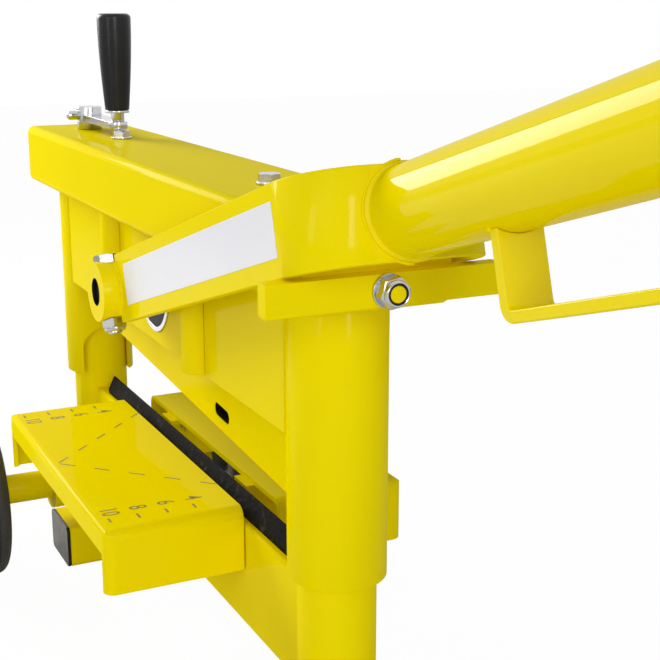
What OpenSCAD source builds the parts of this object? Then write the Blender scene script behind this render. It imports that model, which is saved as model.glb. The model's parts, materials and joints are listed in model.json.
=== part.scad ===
// Masonry block splitter
// A hand lever turns an eccentric shaft, which drives a self-aligning knife down
// onto a fixed blade. A crank raises and lowers the head on two columns.
// Origin on the floor midway between the columns, +X towards the handle, +Z up.

/* [Stand] */
// Height of the table top above the floor
table_height = 185; // [180:1:230]
// Outside diameter of a column
column_d = 48.3; // [46:0.1:52]
// Wall of a column
column_wall = 4; // [3:0.5:6]
// Height of a column above the table top
column_rise = 125; // [115:1:128]
// Width of a foot
foot_w = 60; // [54:1:80]
// Height of a foot
foot_h = 40; // [30:1:48]
// Wall of a foot
foot_wall = 4; // [3:0.5:6]
// Length of the foot at the handle end
near_foot_l = 320; // [240:5:420]
// Length of the foot between the wheels
far_foot_l = 90; // [80:1:120]

/* [Lower beam and blade] */
// Width of the lower beam
lower_beam_w = 20; // [18:0.5:22]
// Height of the lower beam
lower_beam_h = 77; // [60:1:90]
// Wall of the lower beam
lower_beam_wall = 4; // [3:0.5:5]
// Width of the lower blade
blade_w = 12; // [11:0.5:16]
// Height of the lower blade
blade_h = 15.4; // [14:0.1:18]
// Height of the blade ridge above the table top
blade_rise = 3.1; // [1:0.1:3.5]

/* [Tables] */
// Length of a table along the blade
table_l = 282; // [260:1:300]
// Width of a table across the blade
table_w = 98.5; // [90:0.5:120]
// Gap between the lower beam and the left table's edge
left_gap = 1; // [0.5:0.1:2]
// Gap between the lower beam and the right table's edge
right_gap = 5.5; // [4:0.1:8]
// Thickness of the folded sheet
table_sheet = 4; // [3:0.5:5]
// Depth of a table's end flanges
flange_h = 46; // [40:1:60]
// Depth of a table's outer lip
lip_h = 18; // [10:1:28]
// Distance between the outer faces of the table arms
arm_span = 190; // [150:1:230]

/* [Wheels] */
// Diameter of a wheel
wheel_d = 150; // [140:1:170]
// Width of a wheel
wheel_w = 36; // [30:1:45]
// Distance between the inner faces of the wheels
wheel_track = 212; // [200:1:240]

/* [Head] */
// Height of the top beam's underside above the table top
head_height = 175; // [172:1:190]
// Length of the top beam
beam_l = 608; // [600:1:640]
// Width of the top beam
beam_w = 90; // [86:1:95]
// Height of the top beam
beam_h = 50; // [46:1:60]
// Wall of the top beam
beam_wall = 4; // [3:0.5:5]
// Outside diameter of a sleeve
sleeve_d = 60.3; // [58:0.1:64]
// Length of a sleeve
sleeve_l = 173; // [165:1:173]
// Distance between the cheeks
cheek_gap = 38; // [37:0.5:40]
// Thickness of a cheek
cheek_t = 8; // [6:0.5:9]
// Height of a cheek
cheek_h = 86.5; // [82:0.5:90]
// Distance of a rib from mid-span
rib_x = 94; // [85:1:110]
// Radius of a half-round rib
rib_r = 12; // [8:0.5:12]

/* [Lever] */
// Lever axis below the underside of the top beam
axis_drop = 44; // [42:0.5:46]
// Slope of the lever at rest, in degrees
lever_tilt = 16.9; // [16:0.1:18]
// Distance between the fork's arms
fork_gap = 100; // [98:1:120]
// Thickness of the fork's flat bar
fork_t = 8; // [6:0.5:10]
// Height of the fork's flat bar
fork_h = 50; // [46:1:54]
// Length of the fork from the axis to its outer face
fork_l = 352; // [348:1:400]
// Outer radius of the fork's bends
fork_bend_r = 38; // [20:1:45]
// Diameter of the lever tube
tube_d = 48.3; // [40:0.1:50]
// Wall of the lever tube
tube_wall = 3.2; // [2.5:0.1:5]
// Length of the lever tube
tube_l = 498; // [400:1:900]
// Outside diameter of a lever hub
hub_d = 44; // [40:0.5:46]
// Length of a lever hub
hub_l = 31.4; // [28:0.1:34]
// Diameter of the shaft's ends
shaft_d = 20.5; // [20:0.5:25]
// Throw of the eccentric
throw = 12; // [10:0.5:12]
// Diameter of the eccentric pin
pin_d = 26; // [22:0.5:28]
// Diameter of the shaft's journals
journal_d = 60; // [56:0.5:62]

/* [Loop] */
// Distance from the lever axis to the loop
loop_start = 441; // [400:1:480]
// Length of the loop
loop_l = 196; // [120:1:240]
// Depth of the loop below the lever's centre line
loop_drop = 63.5; // [50:0.5:80]
// Width of the loop's strap
loop_w = 25; // [20:1:30]
// Thickness of the loop's strap
loop_t = 6; // [4:0.5:8]

/* [Knife] */
// Thickness of the knife
knife_t = 20; // [16:0.5:20]
// Height of the knife
knife_h = 53; // [48:0.5:54]
// Tilt of the knife at rest, in degrees
knife_tilt = 3.73; // [0:0.01:3.75]
// Height of the knife's bevel
knife_bevel_h = 5; // [4:0.5:10]
// Length of the slot in the knife
knife_slot_l = 28; // [20:1:32]
// Height of the slot in the knife
knife_slot_h = 9.5; // [8:0.5:12]

/* [Crank] */
// Diameter of a lifting spindle
spindle_d = 20; // [18:0.5:22]
// Distance from the spindle to the grip
crank_r = 88; // [70:1:90]
// Length of the grip
grip_l = 79; // [70:1:100]
// Diameter of the grip at its top
grip_d = 28; // [25:0.5:32]

/* [Hidden] */
$fn = 64;

// Cuts run past the faces that they open by this much
overrun = 1;
// Radial gap of a round piece in its bore
fit_gap = 0.05;
// Gap between faces that slide past each other
run_gap = 0.3;

// Stand
column_inset = 50.5;
column_x = beam_l / 2 - column_inset;
column_top = table_height + column_rise;
foot_round = 5;
cap_t = 3;
cap_l = 10;
nut_flange_h = 5;
nut_plug_l = 30;
blade_top = table_height + blade_rise;
lower_beam_top = blade_top - blade_h;
lower_beam_round = 3;
blade_ridge_w = 1.5;
blade_bevel_h = 11;
blade_inset = 45;

// Tables and their arms
table_round = 8;
lip_round = 5.5;
table_shift = -9.5;
table_under = table_height - table_sheet;
arm_l = 84;
arm_h = 40;
arm_flange_w = 24;
arm_t = 4;
arm_start = lower_beam_w / 2;
stud_d = 8;
stud_l = 14;
stud_nut_af = 13;
stud_nut_h = 6.5;
stud_shares = [0.22, 0.78];
stud_x = arm_span / 2 - (arm_flange_w + arm_t) / 2;

// Wheels and axle
wheel_clear = 2;
axle_x = -column_x;
axle_z = wheel_d / 2 + wheel_clear;
axle_d = 16;
axle_tube_d = 26.9;
axle_end = 4;
bracket_d = 47;
bracket_end = 55;
tyre_share = 0.28;
rim_r = (1 - tyre_share) * wheel_d / 2;
rim_t = 5;
rim_inset = 2;
rim_hub_r = 16;
rim_web_t = 8;
tyre_round = 9;
axle_cap_r = 12;
axle_cap_t = 6;

// Head
head_z = table_height + head_height;
beam_top = head_z + beam_h;
beam_round = 6;
sleeve_gap = 0.3;
notch_w = 43;
notch_h = 45;
cheek_in = cheek_gap / 2;
cheek_out = cheek_in + cheek_t;
rib_l = 85;
bush_wall = 4;
bush_rim = 0.45;
bush_in = cheek_in - bush_rim;
bush_proud = 1;
bush_out = cheek_out + bush_proud;
guide_w = 15;
guide_l = 59;
tie_inset = 96.5;
tie_x = column_x - tie_inset;
tie_l = 30;
tie_h = 50;
tie_bolt_d = 8;
tie_bolt_af = 13;
tie_bolt_head_h = 5.3;
tie_bolt_grip = 30;
tie_washer_d = 17;
tie_washer_t = 1.6;

// Lifting drive
bush_flange_d = 30;
bush_flange_t = 3;
bush_d = 26;
bush_rise = 6;
bush_top = head_z + beam_wall + bush_rise;
thrust_gap = 0.2;
collar_d = 28;
collar_h = 6;
spindle_drop = 149;
chain_rise = 21;
chain_h = 9;
chain_in_r = 31;
chain_t = 5;
chain_z = head_z + chain_rise;
sprocket_t = 7;
sprocket_z = chain_z + (chain_h - sprocket_t) / 2;
sprocket_hub_d = 32;
spindle_over = 3;
spindle_top = chain_z + chain_h + spindle_over;
crank_shaft_d = 12;
top_bush_d = 18;
top_bush_l = 10;

// Crank
crank_gap = 0.5;
crank_hub_d = 22;
crank_hub_h = 19.5;
crank_hub_lid = 3;
crank_z = beam_top + crank_gap;
screw_d = 8;
screw_proud = 6;
screw_share = 0.62;
screw_z = crank_z + screw_share * crank_hub_h;
crank_arm_w = 16;
crank_arm_t = 6;
crank_arm_lift = 7;
crank_arm_z = crank_z + crank_arm_lift;
grip_rod_d = 8;
grip_rod_l = 54;
grip_shoulder_d = 11;
grip_shoulder_h = 7.5;
grip_seat_d = 20;
grip_seat_t = 2;
grip_seat_z = crank_arm_z + crank_arm_t + grip_shoulder_h;
grip_z = grip_seat_z + grip_seat_t + thrust_gap;
grip_foot_d = 20;
grip_round = 4;
grip_steps = 10;

// Lever
axis_z = head_z - axis_drop;
fork_in = fork_gap / 2;
fork_out = fork_in + fork_t;
fork_start = 12;
hub_over_share = 0.427;
hub_out = fork_out + hub_over_share * hub_l;
hub_in = hub_out - hub_l;
hub_bolt_d = 10;
hub_bolt_af = 17;
hub_bolt_head_h = 6.5;
hub_bolt_share = 0.363;
hub_bolt_y = hub_out - hub_bolt_share * hub_l;
hub_nut_h = 10;
hub_bolt_over = 2;
hub_spot_depth = 2;
hub_spot = hub_d / 2 - hub_spot_depth;
shaft_inset = 3;
hub_spot_d = 20.5;
journal_gap = 0.08;
throw_angle = -30;
throw_x = throw * cos(throw_angle);
throw_z = throw * sin(throw_angle);
stroke = -2 * throw_z;
loop_round = 9;
end_cap_t = 4;
end_cap_l = 18;
tube_end = fork_l + tube_l;

// Stop bar under the fork
stop_t = 10;
stop_l = 141;
stop_h = 18;
stop_u = (beam_l / 2 - fork_h / 2 * sin(lever_tilt)) / cos(lever_tilt);
stop_top = axis_z + stop_u * sin(lever_tilt) - fork_h / 2 * cos(lever_tilt) - run_gap;
stop_mid = stop_top - stop_h / 2;
stop_stud_d = 12;
stop_nut_af = 19;
stop_nut_h = 12;
stop_washer_d = 24;
stop_washer_t = 2.5;
stop_over = 1.5;

// Knife and its holder
slot_gap = 0.5;
slot_x = (throw + throw_x) / 2;
slot_travel = throw - throw_x;
slot_r = pin_d / 2 + slot_gap;
holder_l = 116;
holder_t = 2 * bush_in - 2 * run_gap;
holder_web = 3.5;
lug_r = 9;
lug_gap = 0.5;
pivot_d = 10;
pivot_z = axis_z + throw_z - slot_r - holder_web - lug_gap - lug_r;
knife_top_drop = 1.5;
knife_top = pivot_z - knife_top_drop;
holder_z = pivot_z + holder_l / 2 * sin(knife_tilt) - knife_top_drop * cos(knife_tilt) + run_gap;
holder_clear = 3;
holder_top = head_z - stroke - holder_clear;
knife_end_gap = 11.35;
knife_l = 2 * (column_x - sleeve_d / 2 - knife_end_gap);
knife_edge_w = 8;
knife_slot_x = 93.5;
knife_slot_rise = 18;

// Paint and metal
yellow = "#ead600";
zinc = "#c9ccd0";
steel = "#6f7276";
dark = "#2b2a29";
black = "#161616";

// Shapes used by several pieces

// A flat rectangle with round corners, centred
module rounded_rect(w, h, r) {
    square([w - 2 * r, h], center = true);
    square([w, h - 2 * r], center = true);
    for (x = [-1, 1], y = [-1, 1])
        translate([x * (w / 2 - r), y * (h / 2 - r)])
            circle(r);
}

// A flat outline with two round corners at its far side
module arch(w, from, to, r) {
    translate([-w / 2, from])
        square([w, to - r - from]);
    translate([r - w / 2, from])
        square([w - 2 * r, to - from]);
    for (side = [-1, 1])
        translate([side * (w / 2 - r), to - r])
            circle(r);
}

// A flat outline with a round corner at its far upper end
module brow(from, to, low, top, r) {
    translate([from, low])
        square([to - from, top - r - low]);
    translate([from, low])
        square([to - r - from, top - low]);
    translate([to - r, top - r])
        circle(r);
}

// A flat outline in X and Z, drawn out from one Y to another
module slab_y(from, to) {
    translate([0, to, 0])
        rotate([90, 0, 0])
            linear_extrude(to - from)
                children();
}

// A flat outline in Y and Z, drawn out from one X to another
module bar_x(from, to) {
    translate([from, 0, 0])
        rotate([90, 0, 90])
            linear_extrude(to - from)
                children();
}

// A flat outline in X and Y, drawn up from one Z to another
module post_z(from, to) {
    translate([0, 0, from])
        linear_extrude(to - from)
            children();
}

module round_x(d, from, to) {
    translate([from, 0, 0])
        rotate([0, 90, 0])
            cylinder(d = d, h = to - from);
}

module round_y(d, from, to) {
    translate([0, from, 0])
        rotate([-90, 0, 0])
            cylinder(d = d, h = to - from);
}

module round_z(d, from, to) {
    translate([0, 0, from])
        cylinder(d = d, h = to - from);
}

module hex_z(af, from, to) {
    translate([0, 0, from])
        cylinder(d = af / cos(30), h = to - from, $fn = 6);
}

module both_x() {
    children();
    mirror([1, 0, 0])
        children();
}

module both_y() {
    children();
    mirror([0, 1, 0])
        children();
}

module at_x(x) {
    translate([x, 0, 0])
        children();
}

// The lever's own frame: X along the lever from its axis, Z square to it
module at_lever() {
    translate([0, 0, axis_z])
        rotate([0, -lever_tilt, 0])
            children();
}

module at_axle() {
    translate([axle_x, 0, axle_z])
        children();
}

// Stand

module foot(x, l) {
    color(yellow)
        translate([x, 0, foot_h / 2])
            difference() {
                slab_y(-l / 2, l / 2)
                    rounded_rect(foot_w, foot_h, foot_round);
                slab_y(-l / 2 - overrun, l / 2 + overrun)
                    rounded_rect(foot_w - 2 * foot_wall, foot_h - 2 * foot_wall, foot_round - foot_wall);
            }
}

module near_foot() {
    foot(column_x, near_foot_l);
}

module far_foot() {
    foot(-column_x, far_foot_l);
}

module foot_cap(x, l) {
    translate([x, 0, foot_h / 2])
        both_y() {
            slab_y(l / 2, l / 2 + cap_t)
                rounded_rect(foot_w, foot_h, foot_round);
            slab_y(l / 2 - cap_l, l / 2)
                rounded_rect(
                    foot_w - 2 * foot_wall - 2 * fit_gap,
                    foot_h - 2 * foot_wall - 2 * fit_gap,
                    foot_round - foot_wall);
        }
}

module foot_caps() {
    color(black) {
        foot_cap(column_x, near_foot_l);
        foot_cap(-column_x, far_foot_l);
    }
}

module column() {
    color(yellow)
        difference() {
            round_z(column_d, foot_h, column_top);
            round_z(column_d - 2 * column_wall, foot_h - overrun, column_top + overrun);
        }
}

module near_column() {
    at_x(column_x)
        column();
}

module far_column() {
    color(yellow)
        difference() {
            at_x(-column_x)
                column();
            at_axle()
                round_y(axle_d + 2 * fit_gap, -column_d, column_d);
        }
}

module column_nuts() {
    color("darkgoldenrod")
        both_x()
            at_x(column_x)
                difference() {
                    union() {
                        round_z(column_d, column_top, column_top + nut_flange_h);
                        round_z(column_d - 2 * column_wall - 2 * fit_gap, column_top - nut_plug_l, column_top);
                    }
                    round_z(
                        spindle_d + 2 * fit_gap,
                        column_top - nut_plug_l - overrun,
                        column_top + nut_flange_h + overrun);
                }
}

module lower_beam() {
    beam_mid = lower_beam_top - lower_beam_h / 2;
    color(yellow)
        difference() {
            translate([0, 0, beam_mid])
                bar_x(-column_x, column_x)
                    rounded_rect(lower_beam_w, lower_beam_h, lower_beam_round);
            translate([0, 0, beam_mid])
                bar_x(-column_x - overrun, column_x + overrun)
                    square([lower_beam_w - 2 * lower_beam_wall, lower_beam_h - 2 * lower_beam_wall], center = true);
            both_x()
                at_x(column_x)
                    round_z(column_d, foot_h, column_top);
        }
}

module lower_blade() {
    end = column_x - blade_inset;
    shoulder = blade_top - blade_bevel_h;
    color(dark)
        bar_x(-end, end)
            polygon([
                [-blade_w / 2, lower_beam_top], [blade_w / 2, lower_beam_top], [blade_w / 2, shoulder],
                [blade_ridge_w / 2, blade_top], [-blade_ridge_w / 2, blade_top], [-blade_w / 2, shoulder]]);
}

// Tables

module stud_places() {
    at_x(table_shift)
        for (share = stud_shares)
            both_x()
                translate([stud_x, arm_start + share * arm_l, 0])
                    children();
}

module table_arms() {
    color(yellow)
        both_y()
            difference() {
                at_x(table_shift)
                    both_x()
                        slab_y(arm_start, arm_start + arm_l) {
                            translate([arm_span / 2 - arm_t, table_under - arm_h])
                                square([arm_t, arm_h]);
                            translate([arm_span / 2 - arm_flange_w, table_under - arm_t])
                                square([arm_flange_w, arm_t]);
                        }
                stud_places()
                    round_z(stud_d + 2 * run_gap, table_under - arm_t - overrun, table_under + overrun);
            }
}

// A block with soft upper edges: its ends bend at one radius, its outer side at another
module soft_block(l, inner, outer, low, top, bend_r, side_r) {
    intersection() {
        post_z(low, top)
            arch(l, inner, outer, bend_r);
        slab_y(inner, outer)
            arch(l, low, top, bend_r);
        bar_x(-l / 2, l / 2)
            brow(inner, outer, low, top, side_r);
    }
}

module folded_table(inner) {
    outer = inner + table_w;
    low = table_height - flange_h;
    color(yellow)
        union() {
            at_x(table_shift)
                difference() {
                    soft_block(table_l, inner, outer, low, table_height, table_round, lip_round);
                    soft_block(
                        table_l - 2 * table_sheet, inner - overrun, outer - table_sheet, low - overrun,
                        table_under, table_round - table_sheet, lip_round - table_sheet);
                    post_z(low - overrun, table_height - lip_h)
                        translate([0, outer])
                            square([table_l - 2 * table_round, 2 * (table_sheet + overrun)], center = true);
                }
            stud_places()
                round_z(stud_d, table_under - stud_l, table_under);
        }
}

module left_table() {
    mirror([0, 1, 0])
        folded_table(lower_beam_w / 2 + left_gap);
}

module right_table() {
    folded_table(lower_beam_w / 2 + right_gap);
}

module table_nuts() {
    nut_top = table_under - arm_t;
    color(zinc)
        both_y()
            stud_places()
                difference() {
                    hex_z(stud_nut_af, nut_top - stud_nut_h, nut_top);
                    round_z(stud_d + 2 * fit_gap, nut_top - stud_nut_h - overrun, nut_top + overrun);
                }
}

// Wheels and axle

// Two pieces on the axle's line, one on each side of the far column
module axle_piece(d, bore, end) {
    color(yellow)
        difference() {
            at_axle()
                round_y(d, -end, end);
            at_axle()
                round_y(bore + 2 * fit_gap, -end - overrun, end + overrun);
            at_x(-column_x)
                round_z(column_d, foot_h, column_top);
        }
}

module axle_brackets() {
    axle_piece(bracket_d, axle_tube_d, bracket_end);
}

module axle_tube() {
    axle_piece(axle_tube_d, axle_d, wheel_track / 2 - run_gap);
}

module wheel_axle() {
    end = wheel_track / 2 + wheel_w + axle_end;
    color(zinc)
        at_axle()
            round_y(axle_d, -end, end);
}

module axle_caps() {
    start = wheel_track / 2 + wheel_w + run_gap;
    color(black)
        at_axle()
            both_y()
                difference() {
                    round_y(2 * axle_cap_r, start, start + axle_end + axle_cap_t);
                    round_y(axle_d + 2 * fit_gap, start - overrun, start + axle_end);
                }
}

module wheel_shape() {
    at_axle()
        translate([0, wheel_track / 2 + wheel_w / 2, 0])
            rotate([90, 0, 0])
                children();
}

module wheel_rim() {
    bore_r = axle_d / 2 + fit_gap;
    color(dark)
        wheel_shape()
            rotate_extrude() {
                translate([bore_r, -wheel_w / 2])
                    square([rim_hub_r - bore_r, wheel_w]);
                translate([bore_r, -rim_web_t / 2])
                    square([rim_r - bore_r, rim_web_t]);
                translate([rim_r - rim_t, -wheel_w / 2 + rim_inset])
                    square([rim_t, wheel_w - 2 * rim_inset]);
            }
}

module wheel_tyre() {
    wall = wheel_d / 2 - rim_r;
    color(black)
        wheel_shape()
            rotate_extrude() {
                translate([rim_r, -wheel_w / 2])
                    square([wall - tyre_round, wheel_w]);
                translate([rim_r, -wheel_w / 2 + tyre_round])
                    square([wall, wheel_w - 2 * tyre_round]);
                for (side = [-1, 1])
                    translate([wheel_d / 2 - tyre_round, side * (wheel_w / 2 - tyre_round)])
                        circle(tyre_round);
            }
}

module left_rim() {
    mirror([0, 1, 0])
        wheel_rim();
}

module left_tyre() {
    mirror([0, 1, 0])
        wheel_tyre();
}

module right_rim() {
    wheel_rim();
}

module right_tyre() {
    wheel_tyre();
}

// Head

module top_beam() {
    beam_mid = head_z + beam_h / 2;
    color(yellow)
        difference() {
            translate([0, 0, beam_mid])
                bar_x(-beam_l / 2, beam_l / 2)
                    rounded_rect(beam_w, beam_h, beam_round);
            translate([0, 0, beam_mid])
                bar_x(-beam_l / 2 + beam_wall, beam_l / 2 - beam_wall)
                    rounded_rect(beam_w - 2 * beam_wall, beam_h - 2 * beam_wall, beam_round - beam_wall);
            both_x()
                at_x(column_x)
                    round_z(bush_d + 2 * fit_gap, head_z - overrun, head_z + beam_wall + overrun);
            at_x(-column_x)
                round_z(top_bush_d + 2 * fit_gap, beam_top - beam_wall - overrun, beam_top + overrun);
            both_x()
                at_x(tie_x)
                    round_z(tie_bolt_d + 2 * fit_gap, head_z - overrun, beam_top + overrun);
            translate([0, 0, stop_mid])
                round_x(stop_stud_d + 2 * fit_gap, beam_l / 2 - beam_wall - overrun, beam_l / 2 + overrun);
        }
}

// The sleeve of the near column, with its notch on the inward side
module sleeve() {
    foot_z = head_z - sleeve_l;
    color(yellow)
        at_x(column_x)
            difference() {
                round_z(sleeve_d, foot_z, head_z);
                round_z(column_d + 2 * sleeve_gap, foot_z - overrun, head_z + overrun);
                bar_x(-sleeve_d, 0) {
                    translate([-notch_w / 2, foot_z - overrun])
                        square([notch_w, notch_h - notch_w / 2 + overrun]);
                    translate([0, foot_z + notch_h - notch_w / 2])
                        circle(d = notch_w);
                }
            }
}

module near_sleeve() {
    sleeve();
}

module far_sleeve() {
    mirror([1, 0, 0])
        sleeve();
}

module cheek() {
    color(yellow)
        difference() {
            slab_y(cheek_in, cheek_out)
                translate([-column_x, head_z - cheek_h])
                    square([2 * column_x, cheek_h]);
            both_x()
                at_x(column_x)
                    round_z(sleeve_d, head_z - cheek_h - overrun, head_z + overrun);
            translate([0, 0, axis_z])
                round_y(journal_d + 2 * bush_wall, cheek_in - overrun, cheek_out + overrun);
        }
}

module front_cheek() {
    mirror([0, 1, 0])
        cheek();
}

module rear_cheek() {
    cheek();
}

module cheek_ribs() {
    color(yellow)
        both_x()
            both_y()
                translate([rib_x, cheek_out, 0])
                    difference() {
                        round_z(2 * rib_r, head_z - rib_l, head_z);
                        translate([-rib_r - overrun, -rib_r - overrun, head_z - rib_l - overrun])
                            cube([2 * (rib_r + overrun), rib_r + overrun, rib_l + 2 * overrun]);
                    }
}

module shaft_bushes() {
    color(zinc)
        translate([0, 0, axis_z])
            both_y()
                difference() {
                    round_y(journal_d + 2 * bush_wall - 2 * fit_gap, bush_in, bush_out);
                    round_y(journal_d, bush_in - overrun, bush_out + overrun);
                }
}

module guide_strips() {
    color(steel)
        both_x()
            slab_y(-cheek_in, cheek_in)
                translate([holder_l / 2 + run_gap, head_z - guide_l])
                    square([guide_w, guide_l]);
}

module tie_blocks() {
    color(steel)
        both_x()
            difference() {
                slab_y(-cheek_in, cheek_in)
                    translate([tie_x - tie_l / 2, head_z - tie_h])
                        square([tie_l, tie_h]);
                at_x(tie_x)
                    round_z(tie_bolt_d + 2 * fit_gap, head_z - tie_bolt_grip, head_z + overrun);
            }
}

module beam_bolts() {
    seat = beam_top + tie_washer_t;
    color(zinc)
        both_x()
            at_x(tie_x) {
                round_z(tie_bolt_d, head_z - tie_bolt_grip, seat);
                hex_z(tie_bolt_af, seat, seat + tie_bolt_head_h);
            }
}

module beam_washers() {
    color(zinc)
        both_x()
            at_x(tie_x)
                difference() {
                    round_z(tie_washer_d, beam_top, beam_top + tie_washer_t);
                    round_z(tie_bolt_d + 2 * fit_gap, beam_top - overrun, beam_top + tie_washer_t + overrun);
                }
}

// Stop bar

module stop_bar() {
    color(yellow)
        difference() {
            bar_x(beam_l / 2, beam_l / 2 + stop_t)
                translate([-stop_l / 2, stop_top - stop_h])
                    square([stop_l, stop_h]);
            translate([0, 0, stop_mid])
                round_x(stop_stud_d + 2 * fit_gap, beam_l / 2 - overrun, beam_l / 2 + stop_t + overrun);
        }
}

module stop_stud() {
    color(yellow)
        translate([0, 0, stop_mid])
            round_x(
                stop_stud_d,
                beam_l / 2 - beam_wall,
                beam_l / 2 + stop_t + stop_washer_t + stop_nut_h + stop_over);
}

module stop_nut() {
    seat = beam_l / 2 + stop_t;
    color(zinc)
        translate([0, 0, stop_mid])
            difference() {
                union() {
                    round_x(stop_washer_d, seat, seat + stop_washer_t);
                    translate([seat + stop_washer_t, 0, 0])
                        rotate([0, 90, 0])
                            hex_z(stop_nut_af, 0, stop_nut_h);
                }
                round_x(
                    stop_stud_d + 2 * fit_gap, seat - overrun, seat + stop_washer_t + stop_nut_h + overrun);
            }
}

// Lifting drive

module spindle_bushes() {
    color("darkgoldenrod") {
        both_x()
            at_x(column_x)
                difference() {
                    union() {
                        round_z(bush_flange_d, head_z - bush_flange_t, head_z);
                        round_z(bush_d, head_z, bush_top);
                    }
                    round_z(spindle_d + 2 * fit_gap, head_z - bush_flange_t - overrun, bush_top + overrun);
                }
        at_x(-column_x)
            difference() {
                round_z(top_bush_d, beam_top - top_bush_l, beam_top);
                round_z(crank_shaft_d + 2 * fit_gap, beam_top - top_bush_l - overrun, beam_top + overrun);
            }
    }
}

module chain_loop(r) {
    both_x()
        translate([column_x, 0])
            circle(r);
    square([2 * column_x, 2 * r], center = true);
}

module drive_chain() {
    color(steel)
        post_z(chain_z, chain_z + chain_h)
            difference() {
                chain_loop(chain_in_r + chain_t);
                chain_loop(chain_in_r);
            }
}

module spindle() {
    collar_top = head_z - bush_flange_t - thrust_gap;
    round_z(spindle_d, head_z - spindle_drop, spindle_top);
    round_z(collar_d, collar_top - collar_h, collar_top);
}

module far_spindle() {
    color(zinc)
        at_x(-column_x) {
            spindle();
            round_z(crank_shaft_d, spindle_top, crank_z + crank_hub_h - crank_hub_lid);
        }
}

module near_spindle() {
    color(zinc)
        at_x(column_x)
            spindle();
}

module sprocket() {
    color(steel)
        difference() {
            union() {
                round_z(2 * (chain_in_r - run_gap), sprocket_z, sprocket_z + sprocket_t);
                round_z(sprocket_hub_d, bush_top + run_gap, sprocket_z);
            }
            round_z(spindle_d + 2 * fit_gap, bush_top, sprocket_z + sprocket_t + overrun);
        }
}

module far_sprocket() {
    at_x(-column_x)
        sprocket();
}

module near_sprocket() {
    at_x(column_x)
        sprocket();
}

// Crank

module crank_hub() {
    color(zinc)
        at_x(-column_x)
            difference() {
                round_z(crank_hub_d, crank_z, crank_z + crank_hub_h);
                round_z(
                    crank_shaft_d + 2 * fit_gap, crank_z - overrun, crank_z + crank_hub_h - crank_hub_lid);
                translate([0, 0, screw_z])
                    round_y(screw_d + 2 * fit_gap, -crank_hub_d, 0);
            }
}

module crank_set_screw() {
    color(zinc)
        translate([-column_x, 0, screw_z])
            difference() {
                union() {
                    round_y(screw_d, -crank_hub_d / 2 - screw_proud, 0);
                    translate([0, -crank_hub_d / 2 - screw_proud, 0])
                        sphere(d = screw_d);
                }
                translate([0, 0, -screw_d])
                    round_z(crank_shaft_d + 2 * fit_gap, 0, 2 * screw_d);
            }
}

module crank_arm() {
    color(zinc)
        at_x(-column_x)
            difference() {
                post_z(crank_arm_z, crank_arm_z + crank_arm_t) {
                    translate([0, -crank_arm_w / 2])
                        square([crank_r, crank_arm_w]);
                    translate([crank_r, 0])
                        circle(d = crank_arm_w);
                }
                round_z(crank_hub_d, crank_arm_z - overrun, crank_arm_z + crank_arm_t + overrun);
                at_x(crank_r)
                    round_z(
                        grip_rod_d + 2 * fit_gap, crank_arm_z - overrun, crank_arm_z + crank_arm_t + overrun);
            }
}

module grip_pin() {
    color(zinc)
        at_x(crank_r - column_x) {
            round_z(grip_rod_d, crank_arm_z, grip_z + grip_rod_l);
            round_z(grip_shoulder_d, crank_arm_z + crank_arm_t, grip_seat_z);
            round_z(grip_seat_d, grip_seat_z, grip_seat_z + grip_seat_t);
        }
}

// Half the grip's outline: a swelling side and a round top edge
function grip_side(i) =
    [grip_foot_d / 2 + (grip_d - grip_foot_d) / 2 * sin(90 * i / grip_steps),
     (grip_l - grip_round) * i / grip_steps];
function grip_edge(i) =
    [grip_d / 2 - grip_round + grip_round * cos(90 * i / grip_steps),
     grip_l - grip_round + grip_round * sin(90 * i / grip_steps)];

module crank_grip() {
    color(black)
        translate([crank_r - column_x, 0, grip_z])
            difference() {
                rotate_extrude()
                    polygon(concat(
                        [[0, 0]],
                        [for (i = [0:grip_steps]) grip_side(i)],
                        [for (i = [1:grip_steps]) grip_edge(i)],
                        [[0, grip_l]]));
                round_z(grip_rod_d + 2 * fit_gap, -overrun, grip_rod_l + fit_gap);
            }
}

// Lever

module fork_outline(l, half_w, r) {
    translate([0, -half_w])
        square([l - r, 2 * half_w]);
    translate([0, -half_w + r])
        square([l, 2 * (half_w - r)]);
    for (side = [-1, 1])
        translate([l - r, side * (half_w - r)])
            circle(r);
}

module lever_fork() {
    color(yellow)
        at_lever()
            difference() {
                post_z(-fork_h / 2, fork_h / 2)
                    difference() {
                        fork_outline(fork_l, fork_out, fork_bend_r);
                        fork_outline(fork_l - fork_t, fork_in, fork_bend_r - fork_t);
                    }
                translate([-overrun, -fork_out - overrun, -fork_h / 2 - overrun])
                    cube([fork_start + overrun, 2 * (fork_out + overrun), fork_h + 2 * overrun]);
                round_y(hub_d, -fork_out - overrun, fork_out + overrun);
            }
}

module hub_bolt_places() {
    both_y()
        translate([0, hub_bolt_y, 0])
            children();
}

module lever_hubs() {
    color(yellow)
        at_lever()
            difference() {
                both_y()
                    round_y(hub_d, hub_in, hub_out);
                round_y(shaft_d + 2 * fit_gap, -hub_out - overrun, hub_out + overrun);
                hub_bolt_places() {
                    round_z(hub_bolt_d + 2 * fit_gap, -hub_d, hub_d);
                    round_z(hub_spot_d, hub_spot, hub_d);
                    round_z(hub_spot_d, -hub_d, -hub_spot);
                }
            }
}

module hub_bolts() {
    color(zinc)
        at_lever()
            hub_bolt_places() {
                hex_z(hub_bolt_af, hub_spot, hub_spot + hub_bolt_head_h);
                round_z(hub_bolt_d, -hub_spot - hub_nut_h - hub_bolt_over, hub_spot);
            }
}

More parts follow.
